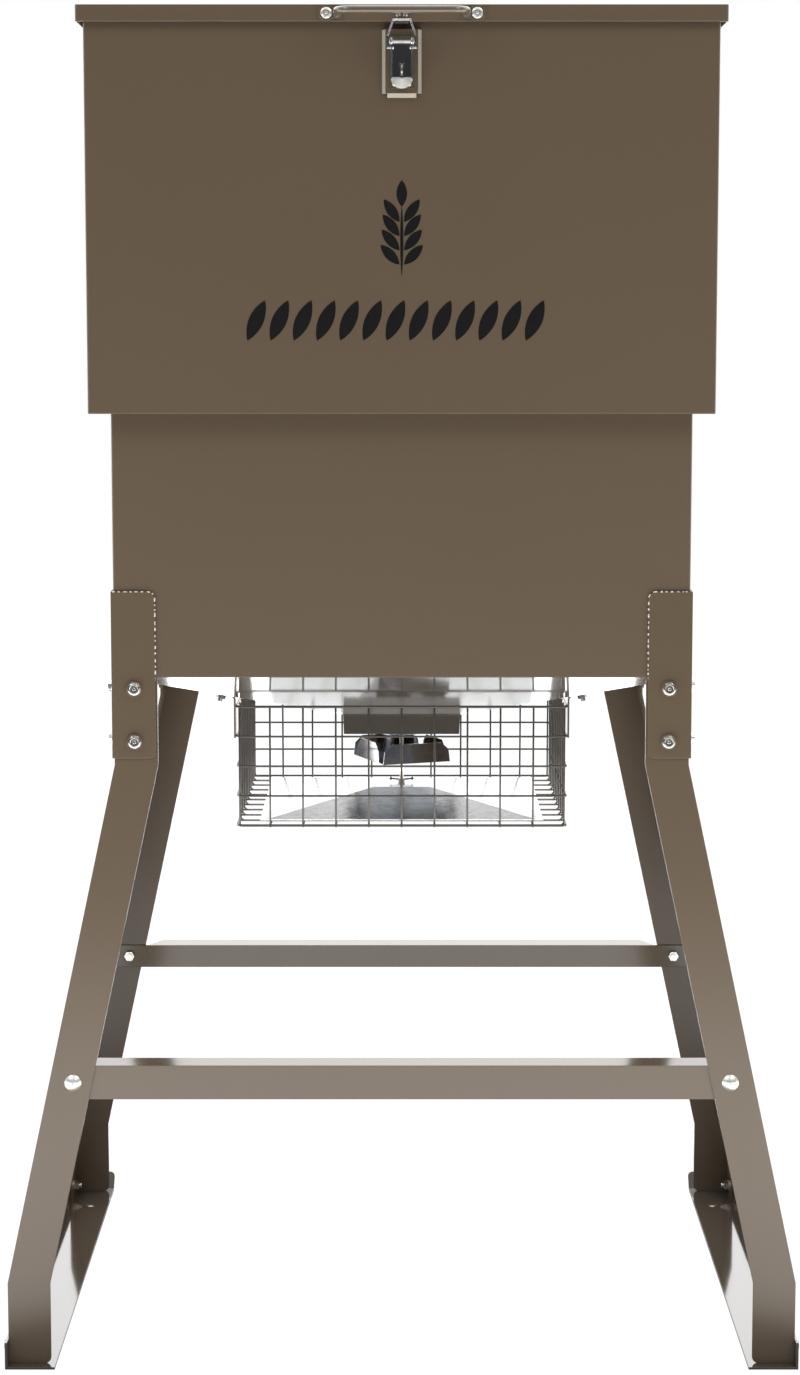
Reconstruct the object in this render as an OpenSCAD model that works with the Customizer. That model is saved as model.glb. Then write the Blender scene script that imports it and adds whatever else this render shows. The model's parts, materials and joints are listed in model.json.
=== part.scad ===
// Stand-and-fill spin cast feeder: two straight-sided sheet boxes on a four-leg stand, a shallow
// funnel, and a motor-driven spinner inside a wire cage.
// Millimetres, +Z up. The origin is on the floor, midway between the feet; the front faces -Y.

/* [Hopper] */
// Height of the lid's top above the floor
top_z = 1598; // [1590:1:1620]
// Width of the upper box
upper_w = 720; // [712:1:724]
// Depth of the upper box
upper_d = 762; // [756:1:770]
// Height of the upper box's bottom edge
upper_z = 1139; // [1125:1:1150]
// Width of the lower box
lower_w = 672; // [668:1:676]
// Depth of the lower box
lower_d = 714; // [710:1:718]
// Height of the lower box's bottom edge
lower_z = 832; // [830:1:834]
// Thickness of the box sheet
sheet = 1.6; // [1.2:0.1:1.8]

/* [Funnel] */
// Width of the square throat at its top
throat_w = 148; // [144:1:152]
// Height at which the funnel meets the throat
throat_z = 751; // [748:1:754]
// Height of the throat's open bottom
throat_bottom_z = 726; // [724:1:728]

/* [Lid] */
// Depth of the lid's turned-down lip
lip_h = 19; // [16:1:22]
// Overhang of the lid past the upper box on each side
lid_over = 8; // [7:0.5:9]

/* [Stand] */
// Flange width of the leg angle
leg_w = 51; // [46:1:52]
// Thickness of the leg angle
leg_t = 2.5; // [2:0.1:3]
// Half of the width over the legs at the feet
foot_x = 471.5; // [455:0.5:485]
// Height at which the slanting part of a leg starts
knee_z = 729; // [725:1:733]
// Height at which the leg turns vertical again
ankle_z = 102; // [95:1:110]
// Height of the corner brackets' lower edge
bracket_z = 737; // [733:1:740]
// Height of the corner brackets' upper edge
bracket_top_z = 932.6; // [900:1:960]
// Thickness of the corner bracket
bracket_t = 2.4; // [2:0.1:3]

/* [Cage] */
// Outer width and depth of the wire cage
cage_w = 406; // [400:1:410]
// Height of the cage's floor
cage_z = 629; // [620:1:634]
// Height of the cage's top rail
cage_top_z = 779; // [776:1:780]
// Wire diameter of the cage
wire = 2.6; // [2.2:0.1:3]
// Meshes across one side of the cage
meshes = 10; // [8:1:12]
// Meshes up one side of the cage
mesh_rows = 4; // [3:1:5]

/* [Spinner] */
// Length of the spinner plate
spin_l = 92; // [80:1:96]
// Width of the spinner plate
spin_w = 104; // [90:1:110]
// Height of the underside of the spinner plate
spin_z = 685; // [683:1:687]
// Height of the upturned fins
fin_h = 25; // [18:1:26]
// Angle at which the spinner stands at rest
spin_rest = 22; // [0:1:45]
// Diameter of the motor shaft
shaft_d = 5; // [4:0.5:6]

/* [Control box] */
// Width of the control box
box_w = 190; // [186:1:200]
// Depth of the control box
box_d = 85; // [84:1:95]
// Height of the control box
box_h = 240; // [236:1:244]
// Height of the control box's floor
box_z = 866; // [860:1:870]

/* [Hidden] */
$fn = 32;
EPS = 0.5;            // how far a cutter runs past the face it opens
RUN = 0.05;           // radial running clearance of a pin in a moving bore
SLIP = 0.3;           // radial clearance of a bolt in its hole

HW = lower_w / 2;     // side plane of the lower box and of the leg tops
HD = lower_d / 2;     // front and rear plane of the lower box
UD = upper_d / 2;     // front and rear plane of the upper box
rim_z = top_z - sheet;
bend_r = 3;           // outside radius of the sheet bends

lid_w = upper_w + 2 * lid_over;
lid_d = upper_d + 2 * lid_over;
lip_y = lid_d / 2;    // outer face of the lid's front and rear lips
lip_mid_z = top_z - lip_h / 2;

// Funnel slopes, as rise per millimetre outward
fun_w = lower_w - 2 * sheet;
fun_d = lower_d - 2 * sheet;
fun_t = 2;            // offset of the funnel's inner surface, inward and upward
kx = (lower_z - throat_z) / (fun_w / 2 - throat_w / 2);
ky = (lower_z - throat_z) / (fun_d / 2 - throat_w / 2);
fun_wall = fun_t * (1 + kx) / norm([1, kx]);   // sheet thickness along the side slope's normal
function fun_under(x, y) = throat_z + max((x - throat_w / 2) * kx, (y - throat_w / 2) * ky);

// Legs and braces
leg_top_z = lower_z - 3;
rail_t = 3;
leg_slope = (foot_x - HW) / (knee_z - ankle_z);
function leg_x(z) = HW + (knee_z - z) * leg_slope;
front_brace_z = [327, 368];
rear_brace_z = [332, 363.5];
brace_flange = 38;
front_bolt = [390, 347.5];
rear_bolt = [387, 348.5];
foot_bolt = [HD - 25, 18];

// Bracket bolts: inset from the corner, and heights
bolt_d = 8;
bolt_in = 24;
bolt_zs = [756.6, 819];
bracket_w = 51;
washer_d = 19.5;
washer_t = 1.6;
bolt_af = 12.7;
head_h = 5;
nut_h = 6.5;

// Foot rails
rail_x = [415, foot_x + rail_t];
rail_y = [-371, 367];
rail_flange = 33;
anchor_x = 440;
anchor_y = 285;
anchor_r = 6.5;
tab_len = 29;

// Latch
latch_z = [1495, 1570.5];
latch_y = -lip_y;
lever_y = latch_y - 7;
lever_z = top_z - 41.5;
bail_z = lever_z - 7;
bail_wire = 2.3;
bail_x = 16;
bail_bar_x = 9.6;
bail_bar_z = top_z - 17.5;
lever_w = 23.7;
lever_tip_z = lever_z - 52.5;
ear_r = 5;
eye_y = latch_y - 14.8;
eye_z = lever_z - 32;
eye_r = 6;
eye_hole_r = 3;
eye_t = 2;

// Hinges
lid_axis_y = lip_y + 4;
lid_axis_z = top_z - lip_h - 6;
lid_hinge_len = 640;
lid_pin_r = 2;
lid_knuckle_r = 4.3;
lid_leaf_t = 1.4;
lid_rivet_z = lid_axis_z + 16;
wall_rivet_z = lid_axis_z - 14;
door_axis_x = -(box_w / 2 + 2.5 + 3.6);
door_axis_y = HD + box_d - 13;
door_hinge_len = 200;
door_pin_r = 1.2;
door_knuckle_r = 2.9;
door_leaf_t = 1.1;

// Rivets: shank diameters, and the radial clearance of their holes
hinge_rivet_d = 4;
box_rivet_d = 5;
small_rivet_d = 3;
RIVET = 0.1;

// Handle
handle_bolt_x = 85;
handle_bolt_d = 6;
handle_foot_t = 2.6;

// Motor and its housing
house_r = 34;
house_z = [719, 796];
motor_r = 18.9;
motor_z = [house_z[0] + 3, 779];
shaft_z = [677, 786];
ring_z = [736, 752];

// Deflector and its stud
defl_w = 350;
defl_d = 356;
defl_z = cage_z + wire;
defl_top_z = 653;
defl_top_w = 72;
stud_d = 5;

// Control box
box_y = HD;
door_y = HD + box_d;
box_t = 1.5;
door_gap = 1;
cam_x = box_w / 2 - 20;
cam_z = box_z + box_h / 2;
timer_z = [1000, 1072];
timer_w = 110;
timer_y = [HD + box_t, HD + 34];
screen = [60, 22];
screen_z = timer_z[1] - 34;
button_x = [-26, 0, 26];
button_z = 1014;
button_r = 4.5;
gland_x = 77;
gland_y = HD + 43;
cable_r = 2.5;

PAINT = [0.40, 0.35, 0.29];
STEEL = [0.75, 0.75, 0.74];
DARK = [0.22, 0.22, 0.22];
BRASS = [0.78, 0.62, 0.30];

// ---------- shared shapes ----------

// Rectangle w by d about the origin with corner radius r
module round_rect(w, d, r) {
    square([w - 2 * r, d], center = true);
    square([w, d - 2 * r], center = true);
    for (sx = [-1, 1], sy = [-1, 1]) translate([sx * (w / 2 - r), sy * (d / 2 - r)]) circle(r = r);
}

// Upright box wall without ends, between two heights
module box_wall(w, d, t, z0, z1) {
    translate([0, 0, z0]) linear_extrude(z1 - z0) difference() {
        round_rect(w, d, bend_r);
        round_rect(w - 2 * t, d - 2 * t, bend_r - t);
    }
}

// Solid between two centred rectangles at two heights
module frustum(w0, d0, z0, w1, d1, z1) {
    a = [w0 / 2, d0 / 2];
    b = [w1 / 2, d1 / 2];
    polyhedron(
        points = [[-a.x, -a.y, z0], [a.x, -a.y, z0], [a.x, a.y, z0], [-a.x, a.y, z0],
            [-b.x, -b.y, z1], [b.x, -b.y, z1], [b.x, b.y, z1], [-b.x, b.y, z1]],
        faces = [[0, 1, 2, 3], [4, 7, 6, 5], [0, 4, 5, 1], [1, 5, 6, 2], [2, 6, 7, 3], [3, 7, 4, 0]]);
}

// Moves a shape made in the right rear quarter to another quarter
module quarter(sx, sy) {
    mirror([sx < 0 ? 1 : 0, 0, 0]) mirror([0, sy < 0 ? 1 : 0, 0]) children();
}

module all_quarters() {
    for (sx = [-1, 1], sy = [-1, 1]) quarter(sx, sy) children();
}

// Child's +Z turned to face the rear (+Y) or the right (+X)
module facing_y() { rotate([-90, 0, 0]) children(); }
module facing_x() { rotate([0, 90, 0]) children(); }

// Hex bolt: underside of the head at z = 0, shank down to -len, with a pressed washer face
module hex_bolt(d, len, washer) {
    translate([0, 0, washer]) cylinder(d = bolt_af / cos(30), h = head_h, $fn = 6);
    if (washer > 0) cylinder(d = washer_d, h = washer);
    translate([0, 0, -len]) cylinder(d = d, h = len + washer + 1);
}

// Carriage bolt: low domed head on z = 0, shank down to -len
module carriage_bolt(d, head_d, rise, len) {
    r = (head_d * head_d / 4 + rise * rise) / (2 * rise);
    rotate_extrude() intersection() {
        translate([0, rise - r]) circle(r = r, $fn = 96);
        square([head_d, head_d]);
    }
    translate([0, 0, -len]) cylinder(d = d, h = len + 0.5);
}

// Hex nut bored for its bolt, on z = 0
module plain_nut(d) difference() {
    cylinder(d = bolt_af / cos(30), h = nut_h, $fn = 6);
    translate([0, 0, -EPS]) cylinder(r = d / 2, h = nut_h + 2 * EPS);
}

// Hex nut with a washer under it: washer from z = 0 upward, nut above, bored for the bolt
module nut_on_washer(d, washer) {
    difference() {
        union() {
            cylinder(d = washer_d - 1, h = washer);
            translate([0, 0, washer - 0.1]) cylinder(d = bolt_af / cos(30), h = nut_h, $fn = 6);
        }
        translate([0, 0, -EPS]) cylinder(r = d / 2, h = nut_h + washer + 2 * EPS);
    }
}

// Rivet: domed head on z = 0 and a shank down to -len with a small set tail
module rivet(d, len) {
    cylinder(d1 = 2 * d, d2 = 1.3 * d, h = 0.45 * d);
    translate([0, 0, -len]) cylinder(d = d, h = len + 0.2);
    translate([0, 0, -len - 1]) cylinder(d = 1.4 * d, h = 1);
}

// One leaf of a long hinge, with its pin on the z axis. The leaf's plate lies at x = plate_x, reaching
// to y = plate_y; moving leaves take the odd knuckles and fixed leaves the even ones.
module hinge_leaf(len, count, pin_r, knuckle_r, plate, t, moving) {
    seg = len / count;
    gap = 0.4;
    reach = moving ? plate.y : -plate.y;
    difference() {
        union() {
            for (i = [0 : count - 1]) if ((i % 2 == 1) == moving) translate([0, 0, i * seg - len / 2 + gap]) {
                cylinder(r = knuckle_r, h = seg - 2 * gap);
                if (moving) translate([plate.x, 0, 0]) cube([t, knuckle_r + 1, seg - 2 * gap]);
                else translate([plate.x, -knuckle_r - 0.6, 0]) cube([-plate.x, t, seg - 2 * gap]);
            }
            if (moving) translate([plate.x, knuckle_r + 0.6, -len / 2]) cube([t, reach - knuckle_r, len]);
            else {
                translate([plate.x, -knuckle_r - 0.6, -len / 2]) cube([-plate.x - knuckle_r - 1, t, len]);
                translate([plate.x, reach, -len / 2]) cube([t, -reach - knuckle_r + 0.5, len]);
            }
        }
        translate([0, 0, -len / 2 - EPS]) cylinder(r = pin_r + (moving ? RUN : 0), h = len + 2 * EPS);
    }
}

// Round rod through a list of points
module rod(points, r) {
    for (i = [0 : len(points) - 2]) hull() {
        translate(points[i]) sphere(r = r, $fn = 12);
        translate(points[i + 1]) sphere(r = r, $fn = 12);
    }
}

module place_lid_hinge() { translate([0, lid_axis_y, lid_axis_z]) rotate([90, 0, 90]) children(); }
module place_door_hinge() { translate([door_axis_x, door_axis_y, cam_z]) rotate([0, 180, 0]) children(); }

// ---------- hopper ----------

module upper_hopper() color(PAINT) {
    flange = (upper_w - lower_w) / 2 + sheet;
    difference() {
        union() {
            box_wall(upper_w, upper_d, sheet, upper_z, rim_z);
            // folded floor ring that carries the box on the lower box
            translate([0, 0, upper_z]) linear_extrude(sheet) difference() {
                round_rect(upper_w - sheet, upper_d - sheet, bend_r - sheet / 2);
                square([upper_w - 2 * flange, upper_d - 2 * flange], center = true);
            }
            // safety return around the mouth
            translate([0, 0, rim_z - sheet]) linear_extrude(sheet) difference() {
                round_rect(upper_w - sheet, upper_d - sheet, bend_r - sheet / 2);
                square([upper_w - 26, upper_d - 26], center = true);
            }
        }
        for (x = hinge_rivet_xs()) translate([x, UD + 5, wall_rivet_z]) rotate([90, 0, 0])
            cylinder(r = hinge_rivet_d / 2 + RIVET, h = 10);
    }
}

module lower_hopper() color(PAINT) difference() {
    box_wall(lower_w, lower_d, sheet, lower_z, upper_z);
    for (p = box_rivet_spots()) translate([p.x, HD + 5, p.y]) rotate([90, 0, 0])
        cylinder(r = box_rivet_d / 2 + RIVET, h = 10);
}

module funnel() color(PAINT) difference() {
    union() {
        frustum(throat_w, throat_w, throat_z, fun_w, fun_d, lower_z);
        translate([0, 0, lower_z]) linear_extrude(24) round_rect(fun_w, fun_d, bend_r - sheet);
        frustum(throat_w - 2, throat_w - 2, throat_bottom_z, throat_w, throat_w, throat_z);
    }
    frustum(throat_w - 2 * fun_t, throat_w - 2 * fun_t, throat_z + fun_t,
        fun_w - 2 * fun_t, fun_d - 2 * fun_t, lower_z + fun_t);
    translate([0, 0, lower_z + fun_t]) linear_extrude(30)
        square([fun_w - 2 * fun_t, fun_d - 2 * fun_t], center = true);
    frustum(throat_w - 2 - 2 * fun_t, throat_w - 2 - 2 * fun_t, throat_bottom_z - EPS,
        throat_w - 2 * fun_t, throat_w - 2 * fun_t, throat_z + fun_t);
    all_quarters() place_cage_bolt() cylinder(r = 3 + SLIP, h = 30, center = true);
    translate([10, throat_w / 2 + 5, 741]) rotate([90, 0, 0]) cylinder(r = 4, h = 12);
}

// ---------- lid ----------

module lid() color(PAINT) difference() {
    translate([0, 0, top_z - lip_h]) linear_extrude(lip_h) round_rect(lid_w, lid_d, bend_r);
    translate([0, 0, top_z - lip_h - EPS]) linear_extrude(lip_h - sheet + EPS)
        round_rect(lid_w - 2 * sheet, lid_d - 2 * sheet, bend_r - sheet);
    for (sx = [-1, 1]) translate([sx * handle_bolt_x, -lip_y - 5, lip_mid_z]) facing_y()
        cylinder(r = handle_bolt_d / 2 + SLIP, h = 10);
    for (x = hinge_rivet_xs()) translate([x, lip_y - 5, lid_rivet_z]) facing_y()
        cylinder(r = hinge_rivet_d / 2 + RIVET, h = 10);
    for (x = catch_rivet_xs()) translate([x, -lip_y - 5, catch_rivet_z()]) facing_y()
        cylinder(r = small_rivet_d / 2 + RIVET, h = 10);
}

// Pull handle: a round bar standing off the front lip, its legs ending in flattened eyes
module lid_handle() color(PAINT) {
    bar_r = 4;
    out = lip_y + 40;
    turn = 16;
    leg = 73;
    for (sx = [-1, 1]) mirror([sx < 0 ? 1 : 0, 0, 0]) {
        translate([leg - turn, -out + turn, lip_mid_z]) rotate([0, 0, -90])
            rotate_extrude(angle = 90) translate([turn, 0]) circle(r = bar_r);
        translate([leg, -out + turn, lip_mid_z]) facing_y()
            cylinder(r = bar_r, h = out - turn - lip_y - handle_foot_t);
        difference() {
            union() {
                translate([handle_bolt_x, -lip_y, lip_mid_z]) rotate([90, 0, 0])
                    cylinder(d = 18, h = handle_foot_t);
                translate([leg - 5, -lip_y - handle_foot_t, lip_mid_z - 6])
                    cube([handle_bolt_x - leg + 5, handle_foot_t, 12]);
            }
            translate([handle_bolt_x, -lip_y - 5, lip_mid_z]) facing_y()
                cylinder(r = handle_bolt_d / 2 + SLIP, h = 10);
        }
    }
    translate([turn - leg, -out, lip_mid_z]) facing_x() cylinder(r = bar_r, h = 2 * (leg - turn));
}

module handle_bolts() color(STEEL) for (sx = [-1, 1])
    translate([sx * handle_bolt_x, -lip_y - handle_foot_t, lip_mid_z]) rotate([90, 0, 0]) {
        cylinder(d = 11 / cos(30), h = 4, $fn = 6);
        translate([0, 0, -8]) cylinder(d = handle_bolt_d, h = 8.5);
    }

module handle_nuts() color(STEEL) for (sx = [-1, 1])
    translate([sx * handle_bolt_x, -lip_y + sheet, lip_mid_z]) facing_y() difference() {
        cylinder(d = 10 / cos(30), h = 3.2, $fn = 6);
        translate([0, 0, -EPS]) cylinder(d = handle_bolt_d, h = 5);
    }

function catch_rivet_z() = top_z - 11;
function catch_rivet_xs() = [-4.2, 4.2];

// Catch on the lid's lip: a plate whose lower edge rolls forward into a narrow hook
module lid_catch() color(PAINT) difference() {
    plate_w = 15;
    hook_w = 10;
    hook_z = top_z - 21.2;
    union() {
        translate([-plate_w / 2, -lip_y - 1.2, hook_z]) cube([plate_w, 1.2, 14.2]);
        translate([-hook_w / 2, -lip_y - 5.1, hook_z]) cube([hook_w, 5.1, 1.2]);
        translate([-hook_w / 2, -lip_y - 5.1, hook_z]) cube([hook_w, 1.2, 3.4]);
    }
    for (x = catch_rivet_xs()) translate([x, -lip_y - 5, catch_rivet_z()]) facing_y()
        cylinder(r = small_rivet_d / 2 + RIVET, h = 10);
}

function hinge_rivet_xs() = [for (i = [0 : 7]) -280 + 80 * i];

module lid_hinge_leaf() color(STEEL) difference() {
    place_lid_hinge() hinge_leaf(lid_hinge_len, 16, lid_pin_r, lid_knuckle_r, [-4, 24], lid_leaf_t, true);
    for (x = hinge_rivet_xs()) translate([x, lip_y - 5, lid_rivet_z]) facing_y()
        cylinder(r = hinge_rivet_d / 2 + RIVET, h = 12);
}

module tank_hinge_leaf() color(STEEL) difference() {
    place_lid_hinge() hinge_leaf(lid_hinge_len, 16, lid_pin_r, lid_knuckle_r, [-12, 24], lid_leaf_t, false);
    for (x = hinge_rivet_xs()) translate([x, UD - 5, wall_rivet_z]) facing_y()
        cylinder(r = hinge_rivet_d / 2 + RIVET, h = 12);
}

module lid_hinge_pin() color(STEEL) place_lid_hinge()
    cylinder(r = lid_pin_r, h = lid_hinge_len, center = true);

module hinge_rivets_lid() color(STEEL) {
    for (x = hinge_rivet_xs()) translate([x, lip_y + lid_leaf_t, lid_rivet_z]) facing_y()
        rivet(hinge_rivet_d, lid_leaf_t + sheet);
    for (x = catch_rivet_xs()) translate([x, -lip_y - 1.2, catch_rivet_z()]) rotate([90, 0, 0])
        rivet(small_rivet_d, 1.2 + sheet);
}

// Rivets through the tank walls: the lid hinge's and the control box's
module tank_rivets() color(STEEL) {
    for (x = hinge_rivet_xs()) translate([x, UD + lid_leaf_t, wall_rivet_z]) facing_y()
        rivet(hinge_rivet_d, lid_leaf_t + sheet);
    for (p = box_rivet_spots()) translate([p.x, box_y + box_t, p.y]) facing_y()
        rivet(box_rivet_d, box_t + sheet);
}

// ---------- lid latch ----------

// Sheet bracket that brings the latch out level with the lid's lip, with sloped edges
module latch_standoff() color(PAINT) {
    w = 45;
    flat = 37;
    foot = 4.5;
    h = latch_z[1] - latch_z[0];
    difference() {
        union() {
            translate([0, 0, latch_z[0] + foot]) linear_extrude(h - foot) difference() {
                polygon([[-w / 2, -UD], [-flat / 2, latch_y], [flat / 2, latch_y], [w / 2, -UD]]);
                polygon([[-w / 2 + 2.2, -UD + 1], [-flat / 2 + 0.8, latch_y + sheet],
                    [flat / 2 - 0.8, latch_y + sheet], [w / 2 - 2.2, -UD + 1]]);
            }
            translate([-flat / 2 + 2, 0, 0]) rotate([90, 0, 90]) linear_extrude(flat - 4)
                polygon([[-UD, latch_z[0]], [latch_y, latch_z[0] + foot], [latch_y, latch_z[0] + foot + 2],
                    [latch_y + sheet, latch_z[0] + foot + 2], [latch_y + sheet, latch_z[0] + foot + 0.6],
                    [-UD, latch_z[0] + 2.2]]);
        }
        for (p = latch_rivet_spots()) translate([p.x, latch_y - 5, p.y]) facing_y()
            cylinder(r = small_rivet_d / 2 + RIVET, h = 10);
    }
}

function latch_rivet_spots() = [for (sx = [-1, 1], z = [lever_z - 14, latch_z[0] + 15]) [sx * 8, z]];

// Steel base with two pivot ears and a padlock eye
module latch_base() color(STEEL) {
    difference() {
        union() {
            translate([-13.3, latch_y - 1.2, latch_z[0] + 10])
                cube([26.6, 1.2, lever_z + 6 - latch_z[0] - 10]);
            for (sx = [-1, 1]) translate([sx * 12.7 - 0.6, 0, 0]) {
                translate([0, lever_y, lever_z]) facing_x() cylinder(r = ear_r, h = 1.2);
                translate([0, lever_y, lever_z - ear_r]) cube([1.2, latch_y - lever_y - 0.6, 2 * ear_r]);
            }
            translate([-eye_t / 2, eye_y, eye_z - eye_r]) cube([eye_t, latch_y - eye_y, 2 * eye_r]);
            translate([0, eye_y, eye_z]) facing_x() cylinder(r = eye_r, h = eye_t, center = true);
        }
        translate([0, lever_y, lever_z]) facing_x() cylinder(r = 1.5, h = 40, center = true);
        translate([0, eye_y, eye_z]) facing_x() cylinder(r = eye_hole_r, h = 10, center = true);
        for (p = latch_rivet_spots()) translate([p.x, latch_y - 5, p.y]) facing_y()
            cylinder(r = small_rivet_d / 2 + RIVET, h = 10);
    }
}

module latch_rivets() color(STEEL) for (p = latch_rivet_spots())
    translate([p.x, latch_y - 1.2, p.y]) rotate([90, 0, 0]) {
        cylinder(d1 = 5.5, d2 = 4.4, h = 0.5);
        translate([0, 0, -1.2 - sheet]) cylinder(d = 3, h = 1.4 + sheet);
        translate([0, 0, -2.2 - sheet]) cylinder(d = 4.4, h = 1);
    }

// Lever: a channel with raised side rims, a slot for the padlock eye and a lipped tip
module latch_lever() color(STEEL) {
    web_y = lever_y + 3.2;
    rim_t = 1.2;
    slot_h = 2 * eye_r + 3.2;
    tip_z = lever_tip_z + lever_w / 2;
    tip_out = 8;
    difference() {
        union() {
            translate([-lever_w / 2 + 0.5, web_y, lever_tip_z + 10])
                cube([lever_w - 1, 1.1, lever_z - lever_tip_z - 12]);
            for (sx = [-1, 1]) translate([sx * (lever_w / 2 - rim_t / 2) - rim_t / 2, 0, 0]) {
                translate([0, lever_y, lever_z]) facing_x() cylinder(r = 4.7, h = rim_t);
                translate([0, lever_y - 3.6, lever_tip_z + 9]) cube([rim_t, 7.9, lever_z - lever_tip_z - 9]);
            }
            // rounded tip that leans away from the base for the finger
            intersection() {
                translate([0, 0, tip_z]) rotate([90, 0, 0]) linear_extrude(-2 * latch_y) {
                    circle(r = lever_w / 2, $fn = 48);
                    translate([-lever_w / 2, 0]) square([lever_w, 3]);
                }
                rotate([90, 0, 90]) linear_extrude(lever_w, center = true)
                    polygon([
                        [web_y + 1.1, tip_z + 1],
                        [web_y, tip_z + 1],
                        [web_y - tip_out, tip_z - lever_w / 2],
                        [web_y + 1.5 - tip_out, tip_z - lever_w / 2]
                    ]);
            }
        }
        translate([0, lever_y, lever_z]) facing_x() cylinder(r = 1.5 + RUN, h = 40, center = true);
        translate([0, lever_y, bail_z]) facing_x() cylinder(r = bail_wire / 2 + RUN, h = 40, center = true);
        translate([-2.6, web_y - 8, eye_z - slot_h / 2]) cube([5.2, 12, slot_h]);
    }
}

module latch_pivot_pin() color(STEEL) translate([0, lever_y, lever_z]) facing_x() {
    cylinder(r = 1.5, h = 26.6, center = true);
    for (m = [0, 1]) mirror([0, 0, m]) translate([0, 0, 13.3]) cylinder(r1 = 2.6, r2 = 2, h = 0.9);
}

// Wire bail that the lever pulls down over the lid's catch
module latch_bail() color(STEEL) {
    r = bail_wire / 2;
    elbow = 1.05 * r;
    shoulder_z = lever_z + 6;
    rise = bail_bar_z - shoulder_z;
    lean = atan((bail_x - bail_bar_x) / rise);
    side = norm([bail_x - bail_bar_x, rise]);
    translate([0, lever_y, 0]) {
        for (sx = [-1, 1]) mirror([sx < 0 ? 1 : 0, 0, 0]) {
            translate([9, 0, bail_z]) facing_x() cylinder(r = r, h = bail_x - 9);
            translate([bail_x, 0, bail_z]) sphere(r = elbow);
            translate([bail_x, 0, bail_z]) cylinder(r = r, h = shoulder_z - bail_z);
            translate([bail_x, 0, shoulder_z]) sphere(r = elbow);
            translate([bail_x, 0, shoulder_z]) rotate([0, -lean, 0]) cylinder(r = r, h = side);
            translate([bail_bar_x, 0, bail_bar_z]) sphere(r = elbow);
        }
        translate([0, 0, bail_bar_z]) facing_x() cylinder(r = r, h = 2 * bail_bar_x, center = true);
    }
}

// ---------- stand ----------

// Angle bracket flange in the x-z plane, rounded at its two inner corners, thickness along +Y
module bracket_flange() {
    r = 8;
    h = bracket_top_z - bracket_z;
    rotate([90, 0, 0]) translate([0, 0, -bracket_t]) linear_extrude(bracket_t) {
        translate([r, 0]) square([bracket_w - r, h]);
        translate([0, r]) square([bracket_w, h - 2 * r]);
        for (z = [r, h - r]) translate([r, z]) circle(r = r);
    }
}

module corner_brackets() color(PAINT) all_quarters() difference() {
    union() {
        translate([HW + bracket_t - bracket_w, HD, bracket_z]) bracket_flange();
        translate([HW, HD + bracket_t - bracket_w, bracket_z]) rotate([0, 0, 90]) mirror([0, 1, 0])
            bracket_flange();
    }
    bracket_holes();
}

module bracket_holes() for (z = bolt_zs) {
    translate([HW - bolt_in, HD - 10, z]) facing_y() cylinder(r = bolt_d / 2 + SLIP, h = 20);
    translate([HW - 10, HD - bolt_in, z]) facing_x() cylinder(r = bolt_d / 2 + SLIP, h = 20);
}

// Leg angle: a flat face in the x-z plane and an edge flange that turns toward the middle of the stand
module leg(sx, sy) color(PAINT) quarter(sx, sy) difference() {
    union() {
        translate([0, HD, 0]) rotate([90, 0, 0]) linear_extrude(leg_t) difference() {
            leg_band(leg_w);
            // rounded inner corner at the foot
            translate([foot_x - leg_w, rail_t]) difference() {
                translate([-1, -1]) square(9);
                translate([8, 8]) circle(r = 8);
            }
        }
        translate([0, HD, 0]) rotate([90, 0, 0]) linear_extrude(leg_w) leg_band(leg_t);
    }
    bracket_holes();
    bolt = sy < 0 ? front_bolt : rear_bolt;
    translate([bolt.x, HD - 10, bolt.y]) facing_y() cylinder(r = bolt_d / 2 + SLIP, h = 20);
    translate([foot_x - 10, foot_bolt.x, foot_bolt.y]) facing_x() cylinder(r = bolt_d / 2 + SLIP, h = 20);
}

// Outline of a leg seen from the front, as a band of the given horizontal width
module leg_band(w) polygon([[HW, leg_top_z], [HW, knee_z], [foot_x, ankle_z], [foot_x, rail_t],
    [foot_x - w, rail_t], [foot_x - w, ankle_z], [HW - w, knee_z], [HW - w, leg_top_z]]);

module leg_front_left() leg(-1, -1);
module leg_front_right() leg(1, -1);
module leg_rear_left() leg(-1, 1);
module leg_rear_right() leg(1, 1);

// Bracket bolts with washers under their heads, and the plain bolts of the foot rails
module hex_bolts() color(STEEL) all_quarters() {
    for (z = bolt_zs) {
        translate([HW - bolt_in, HD + bracket_t, z]) facing_y() hex_bolt(bolt_d, 16, washer_t);
        translate([HW + bracket_t, HD - bolt_in, z]) facing_x() hex_bolt(bolt_d, 16, washer_t);
    }
    translate([foot_x + rail_t, foot_bolt.x, foot_bolt.y]) facing_x() hex_bolt(bolt_d, 17, 0);
}

// Nuts on the inner side of every frame bolt, all but the rear brace's with washers
module frame_nuts() color(STEEL) {
    all_quarters() {
        for (z = bolt_zs) {
            translate([HW - bolt_in, HD - leg_t, z]) rotate([90, 0, 0]) nut_on_washer(bolt_d, washer_t);
            translate([HW - leg_t, HD - bolt_in, z]) rotate([0, -90, 0]) nut_on_washer(bolt_d, washer_t);
        }
        translate([foot_x - leg_t, foot_bolt.x, foot_bolt.y]) rotate([0, -90, 0])
            nut_on_washer(bolt_d, washer_t);
    }
    for (sx = [-1, 1]) {
        translate([sx * front_bolt.x, -HD + 2 * leg_t, front_bolt.y]) facing_y()
            nut_on_washer(bolt_d, washer_t);
        translate([sx * rear_bolt.x, HD - 2 * leg_t, rear_bolt.y]) rotate([90, 0, 0]) plain_nut(bolt_d);
    }
}

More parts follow.
